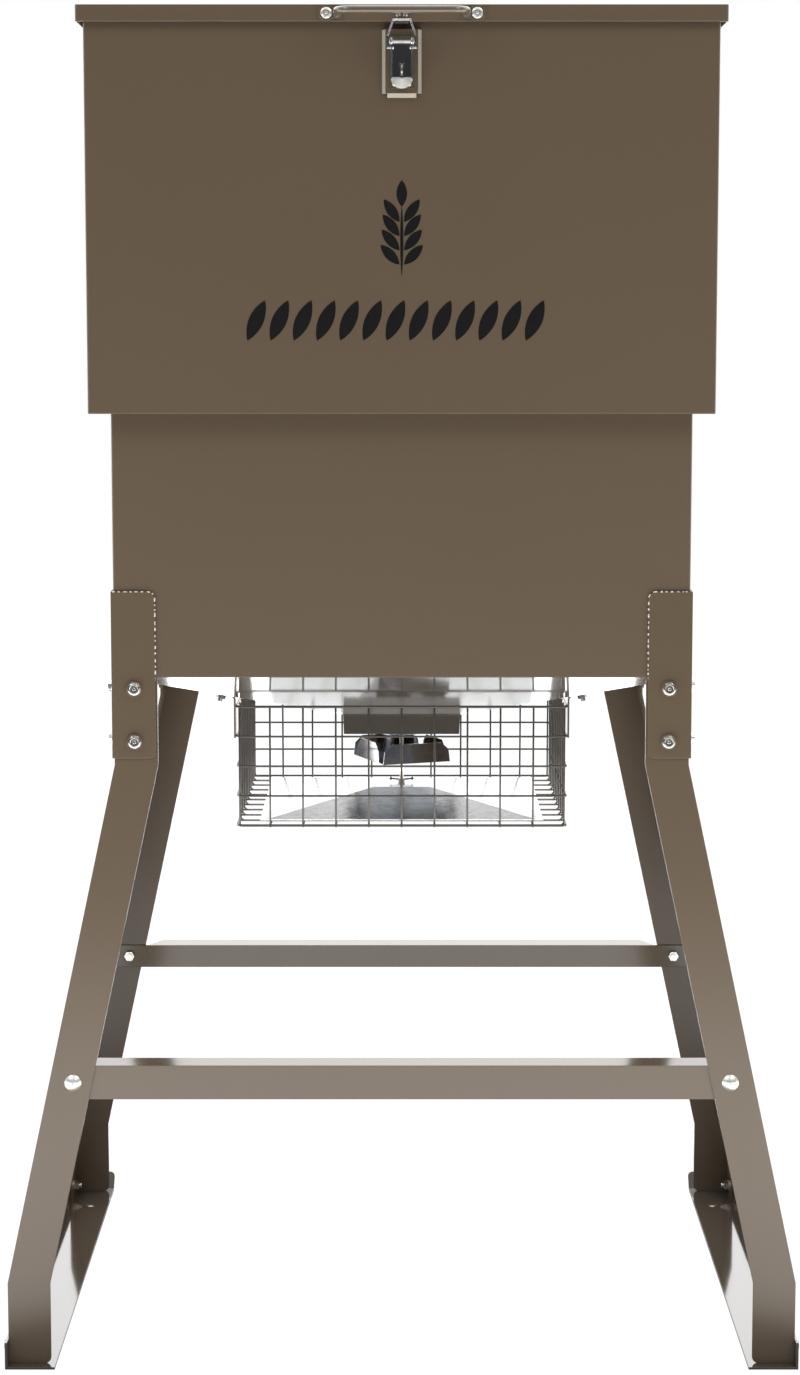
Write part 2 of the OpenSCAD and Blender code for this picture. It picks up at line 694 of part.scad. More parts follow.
module front_brace() color(PAINT) {
    half = leg_x(front_brace_z[1]) - leg_t - 5;
    y0 = -HD + leg_t;
    difference() {
        union() {
            translate([-half, y0, front_brace_z[0]])
                cube([2 * half, leg_t, front_brace_z[1] - front_brace_z[0]]);
            translate([-half, y0, front_brace_z[1] - leg_t]) cube([2 * half, brace_flange, leg_t]);
        }
        for (sx = [-1, 1]) translate([sx * front_bolt.x, -HD - 5, front_bolt.y]) facing_y()
            cylinder(r = bolt_d / 2 + SLIP, h = 20);
    }
}

// The rear brace's top flange faces the rear, so it stops short of the legs with bevelled ends
module rear_brace() color(PAINT) {
    half = leg_x(rear_brace_z[1]) - leg_t - 5;
    inner = leg_x(rear_brace_z[1]) - leg_w - 3;
    y0 = HD - 2 * leg_t;
    difference() {
        union() {
            translate([-half, y0, rear_brace_z[0]])
                cube([2 * half, leg_t, rear_brace_z[1] - rear_brace_z[0]]);
            translate([0, 0, rear_brace_z[1] - leg_t]) linear_extrude(leg_t)
                polygon([[-inner, y0], [inner, y0], [inner - brace_flange / 2, y0 + brace_flange],
                    [brace_flange / 2 - inner, y0 + brace_flange]]);
        }
        for (sx = [-1, 1]) translate([sx * rear_bolt.x, HD - 15, rear_bolt.y]) facing_y()
            cylinder(r = bolt_d / 2 + SLIP, h = 20);
    }
}

module brace_bolts() color(STEEL) for (sx = [-1, 1]) {
    translate([sx * front_bolt.x, -HD, front_bolt.y]) rotate([90, 0, 0]) carriage_bolt(bolt_d, 20, 4.5, 16);
    translate([sx * rear_bolt.x, HD, rear_bolt.y]) facing_y() carriage_bolt(bolt_d, 20, 4.5, 14);
}

// Foot rail: a plate under two legs with an upturned outer flange and a rear end bent up at 45 degrees
module foot_rail(sx) color(PAINT) mirror([sx < 0 ? 1 : 0, 0, 0]) {
    w = rail_x[1] - rail_x[0];
    r = 7;
    difference() {
        union() {
            translate([rail_x[0], rail_y[0], 0]) cube([w, rail_y[1] - rail_y[0], rail_t]);
            translate([foot_x, rail_y[0], 0]) cube([rail_t, rail_y[1] - rail_y[0], rail_flange]);
            translate([rail_x[0], rail_y[1], 0]) rotate([45, 0, 0]) linear_extrude(rail_t) {
                translate([r, 0]) square([w - 2 * r, tab_len]);
                square([w, tab_len - r]);
                for (x = [r, w - r]) translate([x, tab_len - r]) circle(r = r);
            }
        }
        for (y = [-anchor_y, anchor_y]) translate([anchor_x, y, -EPS]) cylinder(r = anchor_r, h = 10);
        for (y = [-foot_bolt.x, foot_bolt.x]) translate([foot_x - 10, y, foot_bolt.y]) facing_x()
            cylinder(r = bolt_d / 2 + SLIP, h = 20);
    }
}

module foot_rail_left() foot_rail(-1);
module foot_rail_right() foot_rail(1);

// ---------- cage and deflector ----------

// Flat panel of welded wires in the x-y plane: cols by rows of square openings
module mesh_panel(w, h, cols, rows) linear_extrude(wire) difference() {
    square([w, h]);
    px = (w - wire) / cols;
    py = (h - wire) / rows;
    for (i = [0 : cols - 1], j = [0 : rows - 1])
        translate([wire + i * px, wire + j * py]) square([px - wire, py - wire]);
}

module varmint_cage() color(PAINT) {
    h = cage_top_z - cage_z;
    half = cage_w / 2;
    translate([-half, -half, cage_z]) mesh_panel(cage_w, cage_w, meshes, meshes);
    for (a = [0 : 90 : 270]) rotate([0, 0, a]) translate([-half, -half + wire, cage_z]) rotate([90, 0, 0])
        mesh_panel(cage_w, h, meshes, mesh_rows);
    all_quarters() cage_ear();
}

// Strap on the side of the cage, bent out and up to lie under the funnel
module cage_ear() {
    x0 = cage_w / 2 - 0.3;
    x1 = x0 + 30;
    drop = 0.4;
    t = 2.2;
    difference() {
        translate([0, cage_w / 2 - 2, 0]) rotate([90, 0, 0]) linear_extrude(20)
            polygon([[x0, cage_top_z - 40], [x0 + t, cage_top_z - 40],
                [x0 + t, fun_under(x0 + t, 0) - drop - t], [x1, fun_under(x1, 0) - drop - t],
                [x1, fun_under(x1, 0) - drop], [x0, fun_under(x0, 0) - drop]]);
        place_cage_bolt() cylinder(r = 3 + SLIP, h = 30, center = true);
    }
}

// Centre of a cage bolt on the funnel's underside, with +Z along the funnel's inward normal
module place_cage_bolt() {
    x = cage_w / 2 + 16;
    translate([x, cage_w / 2 - 12, fun_under(x, 0)]) rotate([0, -atan(kx), 0]) children();
}

// Round-headed bolts through the funnel, with flange nuts under the ears
module cage_bolts() color(STEEL) all_quarters() place_cage_bolt() {
    translate([0, 0, fun_wall + RUN]) carriage_bolt(6, 14, 3, 15.5);
    translate([0, 0, -2.7]) rotate([180, 0, 0]) difference() {
        union() {
            cylinder(d = 14, h = 1.6);
            cylinder(d = 10 / cos(30), h = 6.5, $fn = 6);
        }
        translate([0, 0, -EPS]) cylinder(r = 3 + RUN, h = 10);
    }
}

// Low pyramid that throws stray grain off the cage's floor
module deflector() color(STEEL) difference() {
    t = 1.5;
    union() {
        translate([-defl_w / 2, -defl_d / 2, defl_z]) cube([defl_w, defl_d, t]);
        frustum(defl_w - 16, defl_d - 16, defl_z + t, defl_top_w, defl_top_w, defl_top_z);
    }
    translate([0, 0, -t])
        frustum(defl_w - 16, defl_d - 16, defl_z + t - 0.01, defl_top_w, defl_top_w, defl_top_z);
    cylinder(d = stud_d + 0.6, h = 2 * defl_top_z);
}

// Stud standing on a cross bar that lies on the cage's floor wires
module deflector_stud() color(STEEL) {
    translate([0, 0, defl_z + 1.5]) cylinder(d = stud_d, h = shaft_z[0] - 2 - defl_z - 1.5);
    translate([-30, -6, defl_z]) cube([60, 12, 2]);
}

module wing_nut() color(STEEL) translate([0, 0, defl_top_z]) difference() {
    union() {
        cylinder(d1 = 10, d2 = 8, h = 5);
        for (a = [0, 180]) rotate([0, 0, a]) translate([3, -1, 3]) rotate([0, -6, 0]) {
            cube([11, 2, 2.2]);
            translate([11, 1, 1.1]) rotate([90, 0, 0]) cylinder(r = 2, h = 2, center = true);
        }
    }
    translate([0, 0, -EPS]) cylinder(d = stud_d, h = 10);
}

// ---------- motor and spinner ----------

module motor_housing() color(STEEL) difference() {
    translate([0, 0, house_z[0]]) cylinder(r = house_r, h = house_z[1] - house_z[0], $fn = 64);
    translate([0, 0, house_z[0] + 3]) cylinder(r = house_r - 1.5, h = 100, $fn = 64);
    translate([0, 0, house_z[0] - EPS]) cylinder(r = 8, h = 5);
    translate([3.5, house_r - 5, 743.5]) facing_y() cylinder(r = 4.5, h = 10);
}

// Cone that sheds grain off the motor
module motor_cap() color(STEEL) difference() {
    union() {
        translate([0, 0, house_z[1]]) cylinder(r = house_r + 2, h = 2, $fn = 64);
        translate([0, 0, house_z[1] + 2]) cylinder(r1 = house_r + 2, r2 = 3, h = 26, $fn = 64);
    }
    translate([0, 0, house_z[1] + 0.5]) cylinder(r1 = house_r - 1, r2 = 1, h = 25, $fn = 64);
    translate([0, 0, house_z[1] - EPS]) cylinder(r = house_r - 1, h = 1.2, $fn = 64);
}

// Ring with two arms welded to the throat
module motor_bracket() color(STEEL) {
    inner = throat_w / 2 - 1 - fun_t - 0.2;
    h = ring_z[1] - ring_z[0];
    difference() {
        translate([0, 0, ring_z[0]]) cylinder(r = house_r + 3.5, h = h, $fn = 64);
        translate([0, 0, ring_z[0] - EPS]) cylinder(r = house_r, h = h + 2 * EPS, $fn = 64);
        translate([4, 0, 742]) facing_y() cylinder(r = 5.2, h = 60);
    }
    for (sx = [-1, 1]) mirror([sx < 0 ? 1 : 0, 0, 0]) {
        translate([house_r + 2.5, -1.5, ring_z[0]]) cube([inner - house_r - 4, 3, h]);
        translate([inner - 3, -13, ring_z[0]]) cube([3, 26, h]);
    }
}

module motor_can() color(STEEL) difference() {
    union() {
        translate([0, 0, motor_z[0]]) cylinder(r = motor_r, h = motor_z[1] - motor_z[0]);
        translate([0, 0, motor_z[0] - 5]) cylinder(r = 7.8, h = 5);
        translate([0, 0, motor_z[1]]) cylinder(r = 6.5, h = 6);
    }
    translate([0, 0, motor_z[0] + 2]) cylinder(r = motor_r - 1.5, h = motor_z[1] - motor_z[0] - 4);
    translate([0, 0, motor_z[0] - 10]) cylinder(r = 5, h = 100);
}

// Plain bearings at both ends of the motor
module motor_bushings() color(BRASS) for (z = [motor_z[0] - 4.8, motor_z[1] - 1]) translate([0, 0, z])
    difference() {
        cylinder(r = 5, h = 6.8);
        translate([0, 0, -EPS]) cylinder(r = shaft_d / 2 + RUN, h = 10);
    }

module motor_magnets() color(DARK) translate([0, 0, motor_z[0] + 8]) difference() {
    cylinder(r = motor_r - 1.6, h = 36);
    translate([0, 0, -EPS]) cylinder(r = motor_r - 5, h = 40);
    for (a = [0, 180]) rotate([0, 0, a]) translate([0, 0, -EPS]) linear_extrude(40)
        polygon([[0, 0], [30, 14], [30, -14]]);
}

// Wound armature and commutator
module motor_rotor() color(DARK) difference() {
    union() {
        for (a = [0 : 72 : 288]) rotate([0, 0, a]) translate([0, 0, motor_z[0] + 11]) {
            translate([4, -2.5, 0]) cube([6.5, 5, 28]);
            intersection() {
                difference() {
                    cylinder(r = 13.2, h = 28);
                    cylinder(r = 10.2, h = 28);
                }
                linear_extrude(28) polygon([[0, 0], [20, 11], [20, -11]]);
            }
        }
        translate([0, 0, motor_z[0] + 11]) cylinder(r = 5, h = 28);
        translate([0, 0, motor_z[0] + 38]) cylinder(r = 4.5, h = 9);
    }
    cylinder(r = shaft_d / 2, h = 2 * motor_z[1]);
}

module motor_shaft() color(STEEL) translate([0, 0, shaft_z[0]])
    cylinder(d = shaft_d, h = motor_z[1] + 4 - shaft_z[0]);

// Square plate with an upturned fin on each side; the fins are slotted and clipped at their top corners
module spinner_plate() color(STEEL) rotate([0, 0, spin_rest]) difference() {
    t = 1.2;
    union() {
        translate([-spin_l / 2, -spin_w / 2, spin_z]) cube([spin_l, spin_w, t]);
        for (s = [0, 1]) rotate([0, 0, 180 * s]) {
            translate([0, -spin_w / 2, spin_z]) fin(spin_l, t);
            translate([-spin_l / 2, 0, spin_z]) rotate([0, 0, -90]) fin(spin_w - 30, t);
        }
    }
    translate([0, 0, spin_z - EPS]) cylinder(d = shaft_d, h = 3);
    for (s = [-1, 1]) translate([s * 8, 0, spin_z - EPS]) cylinder(r = 1.6, h = 3);
}

module fin(w, t) rotate([90, 0, 0]) translate([0, 0, -t]) linear_extrude(t)
    polygon([[-w / 2, 0], [w / 2, 0], [w / 2 - 2, fin_h - 9], [w / 2 - 12, fin_h],
        [12 - w / 2, fin_h], [2 - w / 2, fin_h - 9]]);

// Flanged hub on the shaft, its set screw, and the two screws that hold the plate
module spinner_hub() color(BRASS) rotate([0, 0, spin_rest]) {
    flange_z = spin_z + 1.2;
    screw_x = 8;
    difference() {
        union() {
            translate([0, 0, flange_z]) cylinder(r = 12, h = 3);
            translate([0, 0, flange_z + 3]) cylinder(r = 5.2, h = 10);
        }
        translate([0, 0, spin_z]) cylinder(d = shaft_d, h = 20);
        translate([0, 0, flange_z + 8]) facing_x() cylinder(r = 1.5 + RUN, h = 10);
        for (s = [-1, 1]) translate([s * screw_x, 0, spin_z]) cylinder(r = 1.5 + RUN, h = 10);
    }
    translate([shaft_d / 2 + 0.1, 0, flange_z + 8]) facing_x() cylinder(r = 1.5, h = 4);
    for (s = [-1, 1]) translate([s * screw_x, 0, 0]) {
        translate([0, 0, spin_z - 5]) cylinder(r = 1.5, h = 12);
        translate([0, 0, flange_z + 3 + RUN]) cylinder(r = 2.4, h = 2);
    }
}

// ---------- control box ----------

function box_rivet_spots() =
    [for (sx = [-1, 1], z = [box_z + 20, box_z + box_h - 20]) [sx * (box_w / 2 - 14), z]];

module control_box() color(PAINT) difference() {
    translate([-box_w / 2, box_y, box_z]) cube([box_w, box_d, box_h]);
    translate([-box_w / 2 + box_t, box_y + box_t, box_z + box_t])
        cube([box_w - 2 * box_t, box_d - 2 * box_t, box_h - 2 * box_t]);
    translate([-box_w / 2 + 11, box_y + box_t, box_z + 11]) cube([box_w - 22, box_d, box_h - 22]);
    for (p = box_rivet_spots()) translate([p.x, box_y - 5, p.y]) facing_y()
        cylinder(r = box_rivet_d / 2 + RIVET, h = 10);
    translate([gland_x, gland_y, box_z - EPS]) cylinder(r = 6, h = 5);
}

// Pan-shaped door over the box's open rear
module control_door() color(PAINT) difference() {
    w = box_w + 2 * (door_gap + box_t);
    h = box_h + 2 * (door_gap + box_t);
    translate([-w / 2, door_y - 8, cam_z - h / 2]) cube([w, 8 + box_t, h]);
    translate([-w / 2 + box_t, door_y - 9, cam_z - h / 2 + box_t]) cube([w - 2 * box_t, 9, h - 2 * box_t]);
    translate([cam_x, door_y - 5, cam_z]) facing_y() cylinder(r = 5 + RUN, h = 10);
}

module box_hinge_leaf() color(STEEL) {
    place_door_hinge()
        hinge_leaf(door_hinge_len, 10, door_pin_r, door_knuckle_r, [-6.1, 16], door_leaf_t, false);
}

// The door's leaf is fixed to the door, so it moves with it
module door_hinge_leaf() color(STEEL) {
    place_door_hinge()
        hinge_leaf(door_hinge_len, 10, door_pin_r, door_knuckle_r, [-3.6, 12], door_leaf_t, true);
}

module box_hinge_pin() color(STEEL) place_door_hinge()
    cylinder(r = door_pin_r, h = door_hinge_len, center = true);

// Quarter-turn latch: a grip outside the door and a cam inside it, drawn in the open position
module door_cam() color(STEEL) translate([cam_x, door_y, cam_z]) {
    translate([0, -6, 0]) facing_y() cylinder(r = 5, h = 6 + box_t + 1);
    translate([0, box_t + 0.1, 0]) facing_y() cylinder(r = 11, h = 3);
    translate([-2, box_t + 3, -11]) cube([4, 9, 22]);
    translate([-4, -6, -18]) cube([8, 2, 22]);
}

// Sealed battery, set to one side so that the cable can pass
module battery() color(DARK) {
    w = 151;
    d = 65;
    translate([3 - box_w / 2, box_y + 5, box_z + box_t]) {
        cube([w, d, 94]);
        translate([3, 3, 93]) cube([w - 6, d - 6, 3]);
        for (x = [15, w - 15]) translate([x, 17, 95]) cube([1, 6, 8]);
    }
}

module timer_case() color(DARK) difference() {
    d = timer_y[1] - timer_y[0];
    h = timer_z[1] - timer_z[0];
    translate([-timer_w / 2, timer_y[0], timer_z[0]]) cube([timer_w, d, h]);
    translate([-timer_w / 2 + 2, timer_y[0] + 2, timer_z[0] + 2]) cube([timer_w - 4, d - 4, h - 4]);
    for (x = button_x) translate([x, timer_y[1] - 5, button_z]) facing_y()
        cylinder(r = button_r + RUN, h = 10);
    translate([-screen.x / 2, timer_y[1] - 5, screen_z]) cube([screen.x, 10, screen.y]);
}

// Circuit board with its display and the switch under each button
module timer_board() color([0.1, 0.35, 0.2]) {
    translate([-timer_w / 2 + 4, timer_y[1] - 12, timer_z[0] + 4])
        cube([timer_w - 8, 1.6, timer_z[1] - timer_z[0] - 8]);
    translate([-screen.x / 2, timer_y[1] - 10.5, screen_z]) cube([screen.x, 9.5, screen.y]);
    for (x = button_x) translate([x - 3, timer_y[1] - 10.5, button_z - 3]) cube([6, 3, 6]);
}

module timer_button(i) color([0.7, 0.15, 0.1]) translate([button_x[i], timer_y[1] - 6, button_z]) facing_y() {
    cylinder(r = button_r, h = 8.5);
    cylinder(r = button_r + 1.2, h = 3);
}

module button_left() timer_button(0);
module button_middle() timer_button(1);
module button_right() timer_button(2);

// Cable from the box's floor, along under the funnel, to the motor
module motor_cable() color(DARK) rod([
    [45, HD + 20, timer_z[0] - cable_r - 0.5], [gland_x, gland_y, timer_z[0] - 30],
    [gland_x, gland_y, box_z - 34], [gland_x - 2, gland_y - 14, box_z - 50],
    [gland_x - 10, HD - 20, fun_under(0, HD - 20) - 12], [28, cage_w / 2, fun_under(0, cage_w / 2) - 4.6],
    [18, 120, fun_under(0, 120) - 6], [11, 84, 741], [9, 66, 741], [4, 38, 742], [3, 27, 746], [3, 24, 776]],
    cable_r);

// Rubber ring around the cable in the box's floor
module cable_gland() color(DARK) difference() {
    translate([gland_x, gland_y, box_z - 9]) {
        cylinder(r = 9, h = 9);
        cylinder(r = 5.8, h = 11);
        translate([0, 0, 9 + box_t]) cylinder(r = 8.5, h = 3);
    }
    translate([gland_x, gland_y, box_z - 12]) cylinder(r = cable_r + 0.2, h = 30);
}

upper_hopper();
lower_hopper();
funnel();
lid();
lid_handle();
handle_bolts();
handle_nuts();
lid_catch();
lid_hinge_leaf();
tank_hinge_leaf();
lid_hinge_pin();
hinge_rivets_lid();
tank_rivets();
latch_standoff();
latch_base();
latch_rivets();
latch_lever();
latch_pivot_pin();
latch_bail();
corner_brackets();
leg_front_left();
leg_front_right();
leg_rear_left();
leg_rear_right();
hex_bolts();
frame_nuts();
front_brace();
rear_brace();
brace_bolts();
foot_rail_left();
foot_rail_right();
varmint_cage();
cage_bolts();
deflector();
deflector_stud();
wing_nut();
motor_housing();
motor_cap();
motor_bracket();
motor_can();
motor_bushings();
motor_magnets();
motor_rotor();
motor_shaft();
spinner_plate();
spinner_hub();
control_box();
control_door();
box_hinge_leaf();
door_hinge_leaf();
box_hinge_pin();
door_cam();
battery();
timer_case();
timer_board();
button_left();
button_middle();
button_right();
motor_cable();
cable_gland();
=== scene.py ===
"""Looks of the spin cast feeder: materials, wire cage, weld beads, emblem, studio and camera.

Lengths are in metres, +Z up, and the feeder's front faces -Y.
"""

import json
import math
import random

import bmesh
import bpy
from mathutils import Matrix, Vector


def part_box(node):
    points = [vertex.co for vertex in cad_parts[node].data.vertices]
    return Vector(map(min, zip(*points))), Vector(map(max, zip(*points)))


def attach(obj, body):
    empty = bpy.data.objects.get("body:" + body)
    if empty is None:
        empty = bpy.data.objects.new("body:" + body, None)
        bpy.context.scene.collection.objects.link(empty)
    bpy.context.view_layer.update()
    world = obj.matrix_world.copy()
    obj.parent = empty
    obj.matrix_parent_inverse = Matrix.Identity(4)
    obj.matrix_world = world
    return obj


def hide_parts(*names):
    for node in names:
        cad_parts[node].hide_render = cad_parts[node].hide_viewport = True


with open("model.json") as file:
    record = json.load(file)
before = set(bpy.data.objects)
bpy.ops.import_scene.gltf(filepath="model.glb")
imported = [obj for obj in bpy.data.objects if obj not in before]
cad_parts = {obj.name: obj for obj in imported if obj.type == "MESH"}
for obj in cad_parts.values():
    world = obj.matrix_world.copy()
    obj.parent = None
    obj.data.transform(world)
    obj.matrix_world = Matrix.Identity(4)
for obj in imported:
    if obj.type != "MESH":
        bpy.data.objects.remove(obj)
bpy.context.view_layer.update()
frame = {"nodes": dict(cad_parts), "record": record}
MM = 0.001

# ---------- materials ----------


def linear(r, g, b):
    """Linear colour from 0-255 display values."""
    channels = [c / 255 for c in (r, g, b)]
    return [c / 12.92 if c <= 0.04045 else ((c + 0.055) / 1.055) ** 2.4 for c in channels] + [1.0]


class Graph:
    """A node tree, with short calls to add and join nodes."""

    def __init__(self, owner):
        owner.use_nodes = True
        self.tree = owner.node_tree
        self.tree.nodes.clear()
        self.place = self.add("ShaderNodeTexCoord")

    def add(self, kind, **values):
        node = self.tree.nodes.new(kind)
        for key, value in values.items():
            if hasattr(node, key):
                setattr(node, key, value)
            else:
                node.inputs[key.replace("_", " ")].default_value = value
        return node

    def join(self, source, output, target, name):
        self.tree.links.new(source.outputs[output], target.inputs[name])

    def noise(self, scale, detail=3.0, roughness=0.5, stretch=None):
        """Noise in object space; stretch squeezes it along the axes to make streaks."""
        node = self.add("ShaderNodeTexNoise", Scale=scale, Detail=detail, Roughness=roughness)
        if stretch:
            mapping = self.add("ShaderNodeMapping", Scale=stretch)
            self.join(self.place, "Object", mapping, "Vector")
            self.join(mapping, "Vector", node, "Vector")
        else:
            self.join(self.place, "Object", node, "Vector")
        return node

    def spread(self, source, output, low, high, from_min=0.3, from_max=0.7):
        """Value from a texture remapped to low..high."""
        node = self.add("ShaderNodeMapRange")
        node.inputs["From Min"].default_value = from_min
        node.inputs["From Max"].default_value = from_max
        node.inputs["To Min"].default_value = low
        node.inputs["To Max"].default_value = high
        self.join(source, output, node, "Value")
        return node

    def mix(self, factor, factor_output, a, b):
        """Colour between a and b; each is a colour or a (node, output) pair."""
        node = self.add("ShaderNodeMix", data_type="RGBA")
        self.tree.links.new(factor.outputs[factor_output], node.inputs[0])
        for slot, value in ((6, a), (7, b)):
            if isinstance(value, tuple):
                self.tree.links.new(value[0].outputs[value[1]], node.inputs[slot])
            else:
                node.inputs[slot].default_value = value
        return node

    def bump(self, source, output, depth, under=None):
        """Bump of the given depth in metres, stacked on another bump if one is given."""
        node = self.add("ShaderNodeBump", Strength=1.0, Distance=depth)
        self.join(source, output, node, "Height")
        if under:
            self.join(under, "Normal", node, "Normal")
        return node

    def ramp(self, source, output, points):
        """Value along a curve through (position, value) points."""
        node = self.add("ShaderNodeFloatCurve")
        curve = node.mapping.curves[0]
        while len(curve.points) < len(points):
            curve.points.new(0.5, 0.5)
        for spot, (x, y) in zip(curve.points, points):
            spot.location = (x, y)
            spot.handle_type = "VECTOR"
        node.mapping.update()
        self.join(source, output, node, "Value")
        return node

    def edges(self, radius):
        """Bevelled normal, and a mask that is 1 on sharp edges."""
        bevel = self.add("ShaderNodeBevel", samples=4)
        bevel.inputs["Radius"].default_value = radius
        flat = self.add("ShaderNodeNewGeometry")
        dot = self.add("ShaderNodeVectorMath", operation="DOT_PRODUCT")
        self.join(bevel, "Normal", dot, 0)
        self.join(flat, "True Normal", dot, 1)
        mask = self.spread(dot, "Value", 1.0, 0.0, 0.80, 0.995)
        return bevel, mask


class Surface(Graph):
    """A material's node tree, built round one shader."""

    def __init__(self, name):
        self.material = bpy.data.materials.new(name)
        super().__init__(self.material)
        self.bsdf = self.add("ShaderNodeBsdfPrincipled")
        output = self.add("ShaderNodeOutputMaterial")
        self.join(self.bsdf, "BSDF", output, "Surface")

    def set(self, name, value):
        self.bsdf.inputs[name].default_value = value


def powder_coat(name, base, roughness=0.20, peel=0.003, edge_radius=1.2, shine=0.48, lacquer=0.0,
                slope_highlight_tone=None, edge_highlight_tone=None):
    """Semi-gloss powder coat: orange peel, faint cloudiness, and lighter specks on edges that are partly a
    thinner, worn coat and partly a painted highlight.

    peel and edge_radius are in millimetres; slope_highlight_tone colours faces that do not look straight to
    the front, a painted highlight, and edge_highlight_tone, where given, is the colour of a painted highlight
    on edges.
    """
    g = Surface(name)
    cloud = g.noise(2.0, 3.0)
    shade = g.spread(cloud, "Fac", 0.0, 1.0)
    darker = [c * 0.975 for c in base[:3]] + [1.0]
    lighter = [c * 1.025 for c in base[:3]] + [1.0]
    tone = g.mix(shade, "Result", darker, lighter)
    bevel, mask = g.edges(edge_radius * MM)
    # Lighter specks on sharp edges: partly a thinner, worn coat, partly a painted highlight.
    speck = g.noise(900.0, 2.0)
    edge_wear_and_highlight = g.spread(speck, "Fac", 0.0, 0.55, 0.35, 0.75)
    both = g.add("ShaderNodeMath", operation="MULTIPLY")
    g.join(mask, "Result", both, 0)
    g.join(edge_wear_and_highlight, "Result", both, 1)
    edge = edge_highlight_tone or [min(1.0, c * 2.2 + 0.03) for c in base[:3]] + [1.0]
    coat = g.mix(both, "Value", (tone, "Result"), edge)
    # Faces turned away from the front are painted lighter, a painted highlight.
    if slope_highlight_tone:
        shape = g.add("ShaderNodeNewGeometry")
        split = g.add("ShaderNodeSeparateXYZ")
        g.join(shape, "True Normal", split, "Vector")
        slope_highlight = g.spread(split, "Y", 0.0, 1.0, -0.97, -0.80)
        coat = g.mix(slope_highlight, "Result", (coat, "Result"), slope_highlight_tone)
    g.join(coat, "Result", g.bsdf, "Base Color")
    rough = g.spread(g.noise(9.0, 3.0), "Fac", roughness - 0.01, roughness + 0.01)
    g.join(rough, "Result", g.bsdf, "Roughness")
    g.set("Specular IOR Level", shine)
    g.set("Coat Weight", lacquer)
    g.set("Coat Roughness", 0.06)
    skin = g.bump(g.noise(800.0, 2.0), "Fac", peel * MM, bevel)
    g.join(skin, "Normal", g.bsdf, "Normal")
    return g.material


def zinc_plate(name, base, roughness=0.26, stretch=(1.0, 1.0, 8.0), edge_radius=0.35, highlight_below=None):
    """Bright plated steel with a faint warm and cool play and fine scratches.

    stretch squeezes the scratches along the axes; below the height highlight_below the brushed steel is
    painted pale and less metallic, a painted highlight.
    """
    g = Surface(name)
    play = g.spread(g.noise(90.0, 3.0), "Fac", 0.0, 1.0)
    warm = [base[0] * 1.04, base[1], base[2] * 0.90, 1.0]
    cool = [base[0] * 0.94, base[1] * 0.97, base[2] * 1.02, 1.0]
    tone = g.mix(play, "Result", warm, cool)
    g.set("Metallic", 1.0)
    # Below that height the steel is painted pale and less metallic, a painted highlight on the lever's tip.
    if highlight_below is not None:
        split = g.add("ShaderNodeSeparateXYZ")
        g.join(g.place, "Object", split, "Vector")
        tip_highlight = g.spread(split, "Z", 0.0, 1.0, highlight_below, highlight_below - 0.4 * MM)
        metal = g.spread(tip_highlight, "Result", 1.0, 0.15, 0.0, 1.0)
        g.join(metal, "Result", g.bsdf, "Metallic")
        tone = g.mix(tip_highlight, "Result", (tone, "Result"), [0.86, 0.84, 0.80, 1.0])
    g.join(tone, "Result", g.bsdf, "Base Color")
    scratch = g.noise(700.0, 4.0, 0.6, stretch)
    rough = g.spread(scratch, "Fac", roughness - 0.05, roughness + 0.07)
    g.join(rough, "Result", g.bsdf, "Roughness")
    bevel, _ = g.edges(edge_radius * MM)
    g.join(g.bump(scratch, "Fac", 0.0008 * MM, bevel), "Normal", g.bsdf, "Normal")
    return g.material


def galvanised(name):
    """Hot-dip zinc with spangle."""
    g = Surface(name)
    spangle = g.add("ShaderNodeTexVoronoi", Scale=140.0)
    g.join(g.place, "Object", spangle, "Vector")
    grey = g.add("ShaderNodeRGBToBW")
    g.join(spangle, "Color", grey, "Color")
    tone = g.mix(grey, "Val", linear(190, 193, 194), linear(205, 208, 208))
    g.join(tone, "Result", g.bsdf, "Base Color")
    g.set("Metallic", 1.0)
    rough = g.spread(grey, "Val", 0.19, 0.24, 0.2, 0.8)
    g.join(rough, "Result", g.bsdf, "Roughness")
    bevel, _ = g.edges(0.4 * MM)
    g.join(g.bump(g.noise(160.0), "Fac", 0.0015 * MM, bevel), "Normal", g.bsdf, "Normal")
    return g.material


def plastic(name, base, roughness=0.45, grain=1200.0, depth=0.02, shine=0.5):
    """Moulded plastic or rubber with a fine grain, its depth in millimetres."""
    g = Surface(name)
    cloud = g.spread(g.noise(30.0, 3.0), "Fac", 0.0, 1.0)
    darker = [c * 0.85 for c in base[:3]] + [1.0]
    lighter = [min(1.0, c * 1.15) for c in base[:3]] + [1.0]
    tone = g.mix(cloud, "Result", darker, lighter)
    g.join(tone, "Result", g.bsdf, "Base Color")
    rough = g.spread(g.noise(200.0), "Fac", roughness - 0.05, roughness + 0.08)
    g.join(rough, "Result", g.bsdf, "Roughness")
    g.set("Specular IOR Level", shine)
    bevel, _ = g.edges(0.6 * MM)
    g.join(g.bump(g.noise(grain), "Fac", depth * MM, bevel), "Normal", g.bsdf, "Normal")
    return g.material


def circuit_board(name):
    """Green solder mask with copper traces showing through it."""
    g = Surface(name)
    trace = g.add("ShaderNodeTexBrick", Scale=160.0, Mortar_Size=0.03)
    g.join(g.place, "Object", trace, "Vector")
    trace.inputs["Color1"].default_value = linear(18, 84, 48)
    trace.inputs["Color2"].default_value = linear(22, 92, 54)
    trace.inputs["Mortar"].default_value = linear(64, 132, 84)
    g.join(trace, "Color", g.bsdf, "Base Color")
    g.set("Roughness", 0.35)
    g.join(g.bump(trace, "Fac", 0.03 * MM), "Normal", g.bsdf, "Normal")
    return g.material


def lowest(node):
    """Height of a node's lowest point."""
    return min(v.co.z for v in frame["nodes"][node].data.vertices)


